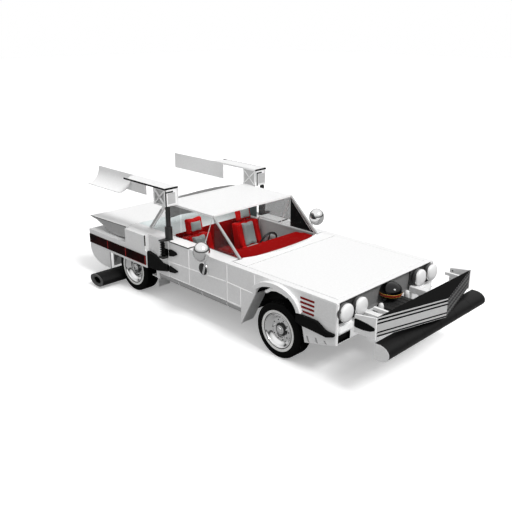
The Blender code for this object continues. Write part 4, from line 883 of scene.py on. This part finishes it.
def plough_plan(depth):
    """The wedge in plan view, with its front faces set back by a depth."""
    reach = PLOUGH_TIP - PLOUGH_BACK
    back = depth * math.hypot(reach, PLOUGH_HALF) / PLOUGH_HALF
    half = PLOUGH_HALF * (1 - back / reach)
    return [(PLOUGH_BACK, -half), (PLOUGH_TIP - back, 0.0), (PLOUGH_BACK, half)]


ribs = bmesh.new()
for low_z, high_z in RIB_HEIGHTS:
    add_prism(ribs, "xy", plough_plan(0.0), low_z, high_z, 0.0016)
blade = publish(ribs, "plough_ribs", rib_aluminium, "root", ("plough_bumper",),
                extra=(powder_grey, far_shade_checks, black_enamel))
tint(blade, lambda centre, normal: abs(normal.z) > 0.6, 3)
tint(blade, lambda centre, normal: normal.z > 0.9 and centre.z > 0.87)
# Painted shade: the far face of the same ribs takes a dark checked finish instead of aluminium, and a thin
# sheet covers it.
tint(blade, lambda centre, normal: normal.y > 0.15 and abs(normal.z) < 0.6, 2)
far_face = bmesh.new()
run = Vector((PLOUGH_BACK - PLOUGH_TIP, PLOUGH_HALF))
out = Vector((run.y, -run.x)).normalized() * 0.0022
tip, end = Vector((PLOUGH_TIP, 0.0)) + run * 0.004, Vector((PLOUGH_TIP, 0.0)) + run * 0.998
add_prism(far_face, "xy", [tip, tip + out, end + out, end], 0.672, 0.8775)
publish(far_face, "plough_far_shade_face", far_shade_checks)
core = bmesh.new()
add_prism(core, "xy", plough_plan(GROOVE_DEPTH), 0.6705, 0.879)
publish(core, "plough_core", black_enamel)
ends = bmesh.new()
streaks = bmesh.new()
END_OUTLINE = [(2.18, 0.652), (2.43, 0.652), (2.43, 0.879), (2.18, 0.841)]
STREAK = [(2.183, 0.722), (2.184, 0.796), (2.196, 0.804), (2.26, 0.802), (2.34, 0.793), (2.416, 0.776),
          (2.424, 0.764), (2.418, 0.744), (2.37, 0.722), (2.29, 0.71), (2.2, 0.712)]
for side in SIDES.values():
    add_prism(ends, "xz", END_OUTLINE, *span(side, 0.886, 0.9075), 0.002)
    side_box(ends, side, (2.24, 2.43), (0.662, 0.692), (0.835, 0.87), 0.003)
    side_box(ends, side, (1.9504, 2.43), (0.42, 0.5), (0.61, 0.68), 0.004)
    add_prism(streaks, "xz", STREAK, *span(side, 0.907, 0.9125), 0.0015)
    for bolt_x in (2.215, 2.395):
        for bolt_z in (0.682, 0.815):
            foot = Vector((bolt_x, side * 0.886, bolt_z))
            add_bar(streaks, foot, foot - Vector((0.0, side * 0.006, 0.0)), 0.009, 0.008, 6, 0.001)
publish(ends, "plough_end_plates", body_enamel)
publish(streaks, "plough_streaks_and_bolts", black_enamel)

# %% Front bar
bar = bmesh.new()
BAR_BACK, BAR_FRONT, BAR_MIDDLE, BAR_RISE, BAR_HALF = 2.45, 2.62, 0.5545, 0.0865, 0.938
bar_nose = arc((BAR_BACK + 0.05, BAR_MIDDLE), BAR_FRONT - BAR_BACK - 0.05, BAR_RISE, -90, 90, 28)
add_prism(bar, "xz", [(BAR_BACK, BAR_MIDDLE + BAR_RISE), (BAR_BACK, BAR_MIDDLE - BAR_RISE)] + bar_nose,
          -BAR_HALF + 0.004, BAR_HALF - 0.004)
for side in SIDES.values():
    side_box(bar, side, (1.9504, 2.47), (0.3, 0.34), (0.5, 0.56), 0.003)
for seam_y in (-0.62, -0.31, 0.0, 0.31, 0.62):
    band = arc((BAR_BACK + 0.05, BAR_MIDDLE), BAR_FRONT - BAR_BACK - 0.0488, BAR_RISE + 0.0012, -88, 88, 28)
    band += [(BAR_BACK + 0.002, BAR_MIDDLE + rise) for rise in (BAR_RISE - 0.002, 0.002 - BAR_RISE)]
    add_prism(bar, "xz", band, seam_y - 0.003, seam_y + 0.003)
publish(bar, "front_rubber_bar", bar_rubber, "root", ("front_bar",))
caps = bmesh.new()
for side in SIDES.values():
    add_prism(caps, "xz", [(BAR_BACK, BAR_MIDDLE + BAR_RISE), (BAR_BACK, BAR_MIDDLE - BAR_RISE)] + bar_nose,
              *span(side, BAR_HALF - 0.004, BAR_HALF), 0.0015)
publish(caps, "bar_end_caps", pale_panel)

# %% [markdown]
# ## Side trim
# Seams on the flanks are drawn white, so they are half-round beads: their upper half faces the sky, and
# their enamel carries a faint glow, which is painted light. Beads on the doors ride with the doors, and each
# run stops short of the shut lines.

# %% Seam beads
FLANK = 0.892
BEAD = 0.0048


def bead(bm, side, points):
    """A half-sunk round bead along a run on the flank."""
    add_tube(bm, [(x, side * FLANK, z) for x, z in points], BEAD, 8)


BODY_SEAMS = (((-0.772, 0.862), (-0.772, 0.4)), ((0.33, 0.85), (0.33, 0.4)), ((0.559, 0.628), (0.559, 0.4)),
              ((0.789, 0.856), (0.789, 0.712)), ((0.332, 0.64), (0.755, 0.626)),
              ((-0.99, 0.594), (-0.9, 0.598)), ((0.332, 0.402), (0.56, 0.402)))
DOOR_SEAMS = (((-0.75, 0.603), (0.308, 0.64)), ((-0.37, 0.862), (-0.37, 0.4)),
              ((-0.75, 0.402), (0.308, 0.402)))
for word, side in SIDES.items():
    fixed = bmesh.new()
    for seam in BODY_SEAMS:
        bead(fixed, side, seam)
    for seam_x in (-0.592, -0.134, 0.319):
        turns = [math.radians(degrees) for degrees in range(0, 81, 10)]
        rocker = [(seam_x, side * (0.822 + 0.07 * math.cos(turn)), 0.374 - 0.074 * math.sin(turn))
                  for turn in turns]
        add_tube(fixed, rocker, 0.0026, 8)
    publish(fixed, "seam_beads_" + word, glowing_line_enamel)
    hung = bmesh.new()
    for seam in DOOR_SEAMS:
        bead(hung, side, seam)
    publish(hung, "door_seam_beads_" + word, glowing_line_enamel, "door_" + word)

# %% Guards, louvres and caps
DOOR_BACK = -0.752
SHELF_FRONT = -0.373
GUARD = [(1.436, 0.6), (1.523, 0.619), (1.715, 0.617), (1.839, 0.548), (1.953, 0.542), (1.948, 0.512),
         (1.853, 0.478), (1.676, 0.49), (1.504, 0.498), (1.44, 0.52)]
TIP = [(DOOR_BACK, 0.557), (-0.735, 0.557), (-0.6, 0.526), (-0.586, 0.517), (-0.6, 0.502), (-0.637, 0.486),
       (DOOR_BACK, 0.47)]
DROP_FRONT = [(DOOR_BACK, 0.779), (-0.701, 0.786), (-0.62, 0.772), (-0.588, 0.754), (-0.6, 0.736),
              (-0.656, 0.706), (DOOR_BACK, 0.689)]
DROP_REAR = [(-0.868, 0.752), (-0.84, 0.768), (-0.774, 0.777), (-0.774, 0.687), (-0.83, 0.684),
             (-0.864, 0.7)]
LOUVRES = (0.804, 0.755, 0.706, 0.657)
SKIN = (0.8915, 0.8935)
STAND_OFF = 0.8924
NOSE_FRONT = NOSE_X + 0.0004
DIVIDERS = (-2.085, -1.64, -1.186)
NOTCHES = ((1.561, 0.386, 1.59, 0.322), (1.679, 0.406, 1.706, 0.352), (1.796, 0.412, 1.822, 0.383))

edges = [0.857] + [z for top in LOUVRES for z in (top, top - 0.016)] + [0.637]
fields = [((1.664, 1.941), SKIN, (0.64, 0.857), 0.0006)]
fields += [((1.47, 1.6645), SKIN, (low_z, high_z), 0.0006) for high_z, low_z in zip(edges[::2], edges[1::2])]
fields.append(((-1.182, -0.975), SKIN, (0.672, 0.862), 0.0006))
notches = [([(top_x, top_z), (top_x + 0.022, top_z), (foot_x + 0.022, foot_z), (foot_x, foot_z)],
            0.8915, 0.8926) for top_x, top_z, foot_x, foot_z in NOTCHES]
dividers = [((x - 0.005, x + 0.005), (0.9654, 0.9785), (0.474, 0.597), 0.001) for x in DIVIDERS]
dividers.append(((-1.645, -1.186), (0.9654, 0.9782), (0.4715, 0.475), 0.001))
both_sides("front_guard", black_enamel, outlines=[(GUARD, STAND_OFF, 0.934, 0.012, 3)],
           node="side_guard", angle=50.0)
both_sides("flank_drops", black_enamel,
           outlines=[(DROP_REAR, STAND_OFF, 0.912, 0.005, 3)], angle=50.0)
both_sides("door_drops", black_enamel, body="door", angle=50.0,
           outlines=[(TIP, STAND_OFF, 0.916, 0.006, 3), (DROP_FRONT, STAND_OFF, 0.912, 0.005, 3)])
both_sides("pale_flank_panels", pale_panel, fields)
# Painted shade: thin grey sheets lie in the valance slots for the shade inside them.
both_sides("valance_notch_shade", painted_shade_grey, outlines=notches)
both_sides("shoulder_cap", body_enamel,
           [((DOOR_BACK, SHELF_FRONT), (0.712, 0.897), (0.8754, 0.889), 0.003)], body="door")
# Painted shade: black strips along the cap's outer and front edges stand for the shade line at its edge.
both_sides("cap_shade_edge", black_plastic,
           [((DOOR_BACK, SHELF_FRONT + 0.007), (0.897, 0.9025), (0.877, 0.89), 0.0015),
            ((SHELF_FRONT, SHELF_FRONT + 0.007), (0.712, 0.897), (0.877, 0.89), 0.0015)], body="door")
both_sides("lamp_dividers", bright_red, dividers)
# The signal blocks take the glowing white enamel: painted light.
both_sides("signal_blocks", glowing_line_enamel,
           [((NOSE_FRONT, 1.978), (0.64, 0.848), (0.535, 0.612), 0.006, 3),
            ((NOSE_FRONT, 1.968), (0.872, 0.886), (0.41, 0.868), 0.003)])
for word, side in SIDES.items():
    dress("rear_guard_" + word, "rear_guard_cap_" + word, black_enamel, bevel=0.008, segments=3)
    slats = bmesh.new()
    for top in LOUVRES:
        outline = [(side * 0.887, top - 0.0175), (side * 0.8968, top - 0.0175), (side * 0.8968, top + 0.001),
                   (side * 0.894, top + 0.0055), (side * 0.887, top + 0.0055)]
        add_prism(slats, "yz", outline, 1.471, 1.66)
    publish(slats, "louvre_slats_" + word, slat_red)
    near, far = (0.879, 0.765) if side < 0 else (0.72, 0.809)
    lines = [((-1.194, -1.186), (0.954, 0.969), (0.732, 0.8765)),
             ((-1.69, -0.802), (0.8895, 0.896), (1.534, 1.5562)),
             ((-0.802, -0.793), (0.685, 0.896), (1.534, 1.5562)),
             ((-0.7975, -0.7935), (near - 0.009, near + 0.009), (1.322, 1.51)),
             ((-0.7975, -0.7935), sorted((near, far)), (1.492, 1.51))]
    line = bmesh.new()
    for x, across, z in lines:
        side_box(line, side, x, across, z, 0.001)
    publish(line, "black_edge_lines_" + word, black_enamel)

lid_edges = bmesh.new()
for side in SIDES.values():
    side_edge = [(-2.628, 0.834), (-1.73, 0.8585), (-1.73, 0.8665), (-2.628, 0.8425)]
    add_prism(lid_edges, "xz", side_edge, *span(side, 0.8915, 0.894))
    side_box(lid_edges, side, (-1.7325, -1.7265), (0.56, 0.892), (0.86, 0.8672), 0.001)
add_box(lid_edges, (-2.6325, -0.892, 0.83), (-2.6295, 0.892, 0.8385))
publish(lid_edges, "lid_edge_lines", black_plastic, "decklid")

# %% [markdown]
# ## Masts, springs and braces
# Above its foot plate each mast steps down twice. Beside the foot a coil spring stands between two shelves.
# The portals under the wing arms have white diagonal braces on both walls.

# %% Masts and springs
MAST = Vector((-0.82, 0.842, 0.0))
MAST_PROFILE = [(0.0, 1.5325), (0.018, 1.5325), (0.019, 1.53), (0.019, 1.308), (0.03, 1.306),
                (0.0315, 1.302), (0.0315, 1.053), (0.046, 1.05), (0.048, 1.045), (0.048, 0.884),
                (0.054, 0.882), (0.054, 0.8755), (0.0, 0.8755)]
SPRING_Y = 0.95
SPRING_RADIUS = 0.0275
COIL_TURNS = 6
COIL_STEPS = 20
BOLT_CIRCLE, BOLT_COUNT, BOLT_START = 0.0475, 6, 0.2
PORTAL_X, PORTAL_Z = (-1.036, -0.806), (1.324, 1.53)
PORTAL_WALLS = ((0.686, -1), (0.889, 1))
BRACE_HALF, BRACE_DEPTH = 0.006, 0.004
for word, side in SIDES.items():
    post = bmesh.new()
    add_turned(post, MAST_PROFILE, (MAST.x, side * MAST.y, 0.0), steps=48)
    side_box(post, side, (-0.855, -0.785), (0.842, 0.985), (0.8825, 0.9), 0.004)
    side_box(post, side, (-0.865, -0.776), (0.8924, 0.985), (0.655, 0.685), 0.006, 3)
    stay = bmesh.new()
    add_bar(stay, (MAST.x, side * SPRING_Y, 0.684), (MAST.x, side * SPRING_Y, 0.884), 0.019, None, 24)
    coil = []
    for step in range(COIL_TURNS * COIL_STEPS + 1):
        turn = math.tau * step / COIL_STEPS
        along, across = polar(SPRING_RADIUS, turn)
        height = 0.69 + 0.186 * step / (COIL_TURNS * COIL_STEPS)
        coil.append((MAST.x + along, side * SPRING_Y + across, height))
    add_tube(stay, coil, 0.0075, 10)
    publish(stay, "stay_spring_" + word, black_enamel)
    for turn in round_turns(BOLT_COUNT, BOLT_START):
        along, across = polar(BOLT_CIRCLE, turn)
        at = (MAST.x + along, side * MAST.y + across)
        add_bar(post, (*at, 0.881), (*at, 0.8875), 0.005, 0.0045, 6)
    publish(post, "wing_mast_" + word, mast_grey, "root", ("mast_" + word,))
    braces = bmesh.new()
    plates = bmesh.new()
    (low_x, high_x), (low_z, high_z) = PORTAL_X, PORTAL_Z
    for wall_y, out in PORTAL_WALLS:
        inner, outer = sorted((wall_y, wall_y + out * BRACE_DEPTH))
        for start, end in (((low_x, low_z), (high_x, high_z)), ((low_x, high_z), (high_x, low_z))):
            run = Vector((end[0] - start[0], end[1] - start[1])).normalized() * BRACE_HALF
            strip = [(start[0] - run.y, start[1] + run.x), (start[0] + run.y, start[1] - run.x),
                     (end[0] + run.y, end[1] - run.x), (end[0] - run.y, end[1] + run.x)]
            add_prism(braces, "xz", strip, *span(side, inner, outer))
        frame_x = ((low_x - 0.003, low_x + 0.014), (high_x - 0.014, high_x + 0.003))
        for x in frame_x:
            side_box(braces, side, x, (inner, outer + 0.0005), (low_z, high_z))
        if out < 0:
            side_box(plates, side, (low_x, high_x), (wall_y - 0.0012, wall_y + 0.001), (low_z, high_z))
    side_box(braces, side, (-0.8, -0.797), (0.703, 0.872), (1.32, 1.532))
    publish(braces, "portal_braces_" + word, body_enamel)
    field = {"right": (0.732, 0.848), "left": (0.74, 0.866)}[word]
    side_box(plates, side, (-0.797, -0.7955), field, (1.348, 1.487))
    side_box(plates, side, (-1.034, -0.808), (0.866, 0.87), (1.322, 1.53))
    publish(plates, "portal_grey_plates_" + word, rib_aluminium)

# %% [markdown]
# ## Mirrors, glass bars and screen rim
# Each mirror is one chrome egg on a bent stalk, whose round foot sits on the door. Thin pale bars divide the
# door glass; on the far side a second pale bar is a painted highlight, and a bead follows the curved foot of
# the screen.

# %% Mirrors and bars
FOOT_DISC = [(0.0, 0.0004), (0.08, 0.0004), (0.0805, 0.004), (0.079, 0.018), (0.075, 0.026), (0.069, 0.029),
             (0.064, 0.024), (0.062, 0.02), (0.0, 0.02)]
FOOT_PAD = [(0.0, 0.04), (0.036, 0.0375), (0.06, 0.0335), (0.074, 0.029), (0.074, 0.02), (0.0, 0.0195)]
STALK = ((-0.046, 0.934, 0.655), (-0.03, 0.938, 0.7), (0.0, 0.943, 0.78), (0.03, 0.948, 0.86),
         (0.048, 0.954, 0.915), (0.056, 0.966, 0.95), (0.056, 0.99, 0.972), (0.052, 1.02, 0.976))
for word, side in SIDES.items():
    egg = bmesh.new()
    add_turned(egg, FOOT_DISC, (-0.07, side * FLANK, 0.7), (0.0, side, 0.0), 64)
    stalk = [(x, side * y, z) for x, y, z in STALK]
    add_tube(egg, stalk, 0.0145, 20)
    add_ball(egg, stalk[0], (0.0148, 0.0148, 0.0148), 24, 12)
    add_ball(egg, (0.05, side * 1.032, 0.976), (0.104, 0.102, 0.116), 56, 32)
    publish(egg, "egg_mirror_" + word, chrome_plate, "door_" + word, ("mirror_" + word,), 50.0)
    hub = bmesh.new()
    add_turned(hub, FOOT_PAD, (-0.07, side * FLANK, 0.7), (0.0, side, 0.0), 48)
    publish(hub, "mirror_foot_pad_" + word, black_plastic, "door_" + word)
    vent = bmesh.new()
    add_bar(vent, (-0.142, side * 0.691, 1.262), (-0.302, side * 0.691, 0.884), 0.0045, None, 12)
    # On the far side a second pale bar stands for the highlight along the inner pillar edge: a painted
    # highlight.
    if side > 0:
        add_bar(vent, (-0.1, side * 0.683, 1.25), (0.25, side * 0.683, 0.905), 0.003, None, 12)
    publish(vent, "vent_bar_" + word, pale_panel, "door_" + word)
    # The far vent pane is a black sheet, painted shade, where the near one is tinted glass.
    corner = bmesh.new()
    add_prism(corner, "xz", [(-0.122, 0.885), (0.296, 0.885), (-0.12, 1.272)], *span(side, 0.686, 0.6872))
    publish(corner, "vent_pane_" + word, {"right": vent_glass, "left": black_enamel}[word], "door_" + word)

# Painted shade: grey sheets just inside the quarter glass and on the rear strut stand for the shade seen
# there through the glass.
QUARTER_SHADE = [(-1.0, 1.284), (-1.0, 1.115), (-0.965, 1.107), (-0.759, 1.192), (-0.47, 1.284)]
REAR_STRUT_SHADE = [(-1.433, 0.881), (-1.39, 0.881), (-1.118, 1.19), (-1.16, 1.19)]
POD_LINER_SHADE = [(-2.236, 0.135), (-2.236, 0.42), (-1.93, 0.42), (-1.93, 0.27)]
POD_ARCH_SHADE = [(-2.205, 0.2), (-2.205, 0.302), (-2.15, 0.345), (-2.081, 0.366), (-1.948, 0.398),
            (-1.948, 0.34), (-2.06, 0.33), (-2.13, 0.29), (-2.175, 0.215)]
STAY = ((0.914, 0.677), (0.99, 0.728), (1.071, 0.743), (1.163, 0.735), (1.235, 0.712))
both_sides("quarter_shade_sheet", painted_shade_grey,
           outlines=[(QUARTER_SHADE, 0.679, 0.681), (REAR_STRUT_SHADE, 0.7036, 0.7054)])
# Painted shade: a grey sheet inside the rear pod's skirt, with a darker arch, stands for the shade there.
both_sides("pod_liner", painted_shade_grey, outlines=[(POD_LINER_SHADE, 0.8, 0.804)])
both_sides("pod_liner_arch", painted_deep_shade, outlines=[(POD_ARCH_SHADE, 0.8038, 0.8062)])
# The arch stays take the glowing white enamel: painted light.
for word, side in SIDES.items():
    stay = bmesh.new()
    add_tube(stay, [(x, side * 0.83, z) for x, z in STAY], 0.02, 16)
    publish(stay, "arch_stay_" + word, glowing_line_enamel)

SCREEN_STEPS = 32
rim_bm = bmesh.new()
screen_foot = []
for step in range(SCREEN_STEPS + 1):
    across = -1 + 2 * step / SCREEN_STEPS
    screen_foot.append((0.35 + 0.135 * (1 - across * across) + 0.006, 0.664 * across, 0.88))
add_tube(rim_bm, screen_foot, 0.0065, 10)
publish(rim_bm, "screen_rim", pale_panel)

# %% [markdown]
# ## Steering wheel, dash and doors inside
# Most of the cabin is seen through glass, so a few clear shapes do the work: a thick hoop on its column,
# two dials, slatted vents, a ribbed bulkhead behind the seats, carpet, and a card with an armrest a door.

# %% Cabin fittings
HUB = Vector((-0.24, 0.37, 0.685))
HUB_AXIS = Vector((0.9, 0.0, -0.28)).normalized()
HOOP_RADIUS = 0.162
HOOP_STEPS = 72
SPOKE_REACH = 0.158
hub_turn = HUB_AXIS.to_track_quat("Z", "Y").to_matrix()


def on_hoop(radius, turn):
    """A point in the steering wheel's tilted plane."""
    return HUB + hub_turn @ Vector((*polar(radius, turn), 0.0))


helm = bmesh.new()
add_tube(helm, [on_hoop(HOOP_RADIUS, turn) for turn in round_turns(HOOP_STEPS)], 0.014, 16, closed=True)
add_bar(helm, HUB - HUB_AXIS * 0.02, HUB + HUB_AXIS * 0.309, 0.0215, 0.0215, 32)
add_turned(helm, [(0.0, -0.024), (0.04, -0.022), (0.05, -0.01), (0.046, 0.01), (0.0, 0.014)], HUB,
           HUB_AXIS, 40)
for angle in (0.0, math.pi / 2, math.pi):
    add_bar(helm, HUB, on_hoop(SPOKE_REACH, angle), 0.0105, 0.008, 12)
publish(helm, "helm_and_column", black_plastic, "root", ("steering_wheel",), 50.0)

dials = bmesh.new()
add_box(dials, (0.036, 0.2, 0.745), (0.06, 0.54, 0.85), 0.01, 3)
for dial_y in (0.29, 0.45):
    add_turned(dials, [(0.0, 0.004), (0.04, 0.004), (0.043, 0.01), (0.046, 0.004), (0.046, 0.0), (0.0, 0.0)],
               (0.037, dial_y, 0.797), (-1.0, 0.0, 0.0), 32)
for vent_y in (-0.56, -0.1, 0.04):
    for bar_z in (0.762, 0.776, 0.79, 0.804):
        add_box(dials, (0.046, vent_y, bar_z), (0.054, vent_y + 0.1, bar_z + 0.007), 0.001)
publish(dials, "dash_dials_and_vents", black_plastic)

trim = bmesh.new()
add_box(trim, (-0.949, -0.638, 0.33), (-0.932, 0.638, 0.8765), 0.008, 3)
for roll_y in (-0.51, -0.255, 0.0, 0.255, 0.51):
    add_box(trim, (-0.938, roll_y - 0.115, 0.35), (-0.922, roll_y + 0.115, 0.862), 0.009, 3)
add_box(trim, (-0.9, -0.105, 0.4555), (0.48, 0.105, 0.48), 0.012, 3)
add_box(trim, (-0.76, -0.1, 0.47), (-0.18, 0.1, 0.6), 0.03, 4)
publish(trim, "red_bulkhead_and_console", red_vinyl)
mats = bmesh.new()
for side in SIDES.values():
    side_box(mats, side, (-0.948, 0.52), (0.094, 0.686), (0.3155, 0.3225), 0.002)
publish(mats, "floor_carpet", dark_carpet)
both_sides("door_card", cabin_grey,
           [((-0.7, 0.29), (0.678, 0.6896), (0.41, 0.866), 0.004),
            ((-0.56, -0.06), (0.646, 0.68), (0.64, 0.69), 0.012, 3),
            ((-0.69, 0.28), (0.672, 0.6896), (0.846, 0.872), 0.006)], body="door")

# %% [markdown]
# ## Padded seats
# Every pad starts as a rounded block a little smaller than the cushion. It is remeshed, blown up by a
# short cloth run, and held within 14 mm of its start, so that it crowns between its edges.

# %% Seat pads
VOXEL = 0.006
CAP = 0.014
SEAT_Y = 0.44
PRESSURE = 4.0
CLOTH_FRAMES = 20


def grown(bm, name):
    """Voxel remesh and inflate a closed shape by cloth, and return the new mesh."""
    mesh = bpy.data.meshes.new(name)
    bm.to_mesh(mesh)
    bm.free()
    pad = stand(name, mesh)
    remesh = pad.modifiers.new("voxels", "REMESH")
    remesh.mode = "VOXEL"
    remesh.voxel_size = VOXEL
    graph = bpy.context.evaluated_depsgraph_get()
    even = bpy.data.meshes.new_from_object(pad.evaluated_get(graph))
    pad.modifiers.clear()
    pad.data = even
    before = [vert.co.copy() for vert in even.vertices]
    cloth = pad.modifiers.new("inflate", "CLOTH")
    cloth.settings.use_pressure = True
    cloth.settings.uniform_pressure_force = PRESSURE
    cloth.settings.effector_weights.gravity = 0.0
    for frame_number in range(1, CLOTH_FRAMES + 1):
        bpy.context.scene.frame_set(frame_number)
    graph = bpy.context.evaluated_depsgraph_get()
    blown = bpy.data.meshes.new_from_object(pad.evaluated_get(graph))
    pad.modifiers.clear()
    pad.data = blown
    bpy.context.scene.frame_set(1)
    for vert, start in zip(blown.vertices, before):
        move = vert.co - start
        if move.length > CAP:
            vert.co = start + move.normalized() * CAP
    result = pad.data
    bpy.data.objects.remove(pad)
    return result


def seat_place(side, x, y, z):
    """A point of seat space on one side of the car."""
    return Vector((x, side * (SEAT_Y + y), z))


def pad_block(x, half, z, lean=0.0, bevel=0.03, centre_y=0.0):
    """A rounded block in seat space, leaned back about its own foot."""
    bm = bmesh.new()
    add_box(bm, (x[0], centre_y - half, z[0]), (x[1], centre_y + half, z[1]), bevel, 3)
    turn = Matrix.Translation((x[0], 0, z[0])) @ Matrix.Rotation(math.radians(lean), 4, "Y")
    bmesh.ops.transform(bm, matrix=turn @ Matrix.Translation((-x[0], 0, -z[0])), verts=bm.verts)
    return bm


LEAN = -17.0
PADS = {
    "cushion": (pad_block((-0.64, -0.15), 0.118, (0.47, 0.56), 4.0, 0.03), woven_grey, 0.7),
    "back": (pad_block((-0.672, -0.6), 0.112, (0.54, 0.866), LEAN, 0.026), woven_grey, 0.7),
    "head": (pad_block((-0.772, -0.736), 0.084, (0.92, 1.046), LEAN + 5, 0.014), woven_grey, 0.8),
    "cushion_roll": (pad_block((-0.65, -0.14), 0.034, (0.455, 0.58), 4.0, 0.026, 0.16), red_leather, 0.9),
    "back_roll": (pad_block((-0.686, -0.58), 0.036, (0.53, 0.874), LEAN, 0.028, 0.158), red_leather, 0.9),
    "head_frame": (pad_block((-0.82, -0.75), 0.134, (0.876, 1.086), LEAN + 5, 0.028), red_leather, 0.9),
}
for pad_name, (block_bm, material, fill) in PADS.items():
    source = grown(block_bm, "pad_" + pad_name)
    for word, side in SIDES.items():
        for flip in ((1, -1) if "roll" in pad_name else (1,)):
            bm = bmesh.new()
            bm.from_mesh(source)
            for vert in bm.verts:
                vert.co = seat_place(side, vert.co.x, vert.co.y * flip, vert.co.z)
            bmesh.ops.recalc_face_normals(bm, faces=bm.faces)
            ending = {1: "", -1: "_inner"}[flip]
            pad = publish(bm, f"seat_{pad_name}_{word}{ending}", material, angle=180.0)
            smooth = pad.modifiers.new("smooth", "SUBSURF")
            smooth.levels = 1
            smooth.render_levels = 1
    bpy.data.meshes.remove(source)
for word, side in SIDES.items():
    shell = bmesh.new()
    back = [(-0.7, 0.316), (-0.24, 0.316), (-0.19, 0.4), (-0.165, 0.455), (-0.2, 0.49), (-0.612, 0.48),
            (-0.728, 0.848), (-0.763, 0.868), (-0.838, 0.86), (-0.76, 0.42)]
    add_prism(shell, "xz", back, *span(side, 0.252, 0.628), 0.016, 3)
    side_box(shell, side, (-0.828, -0.778), (0.395, 0.485), (0.842, 0.96), 0.01)
    publish(shell, "seat_shell_" + word, red_leather, "root", ("seat_" + word,))
    seams = bmesh.new()
    for line_x in (-0.56, -0.44, -0.32, -0.24):
        height = 0.569 - 0.07 * (line_x + 0.64)
        add_tube(seams, [seat_place(side, line_x, y, height) for y in (-0.105, 0.0, 0.105)], 0.0022, 8)
    publish(seams, "seat_piping_" + word, stitch_thread)
print("seats padded")
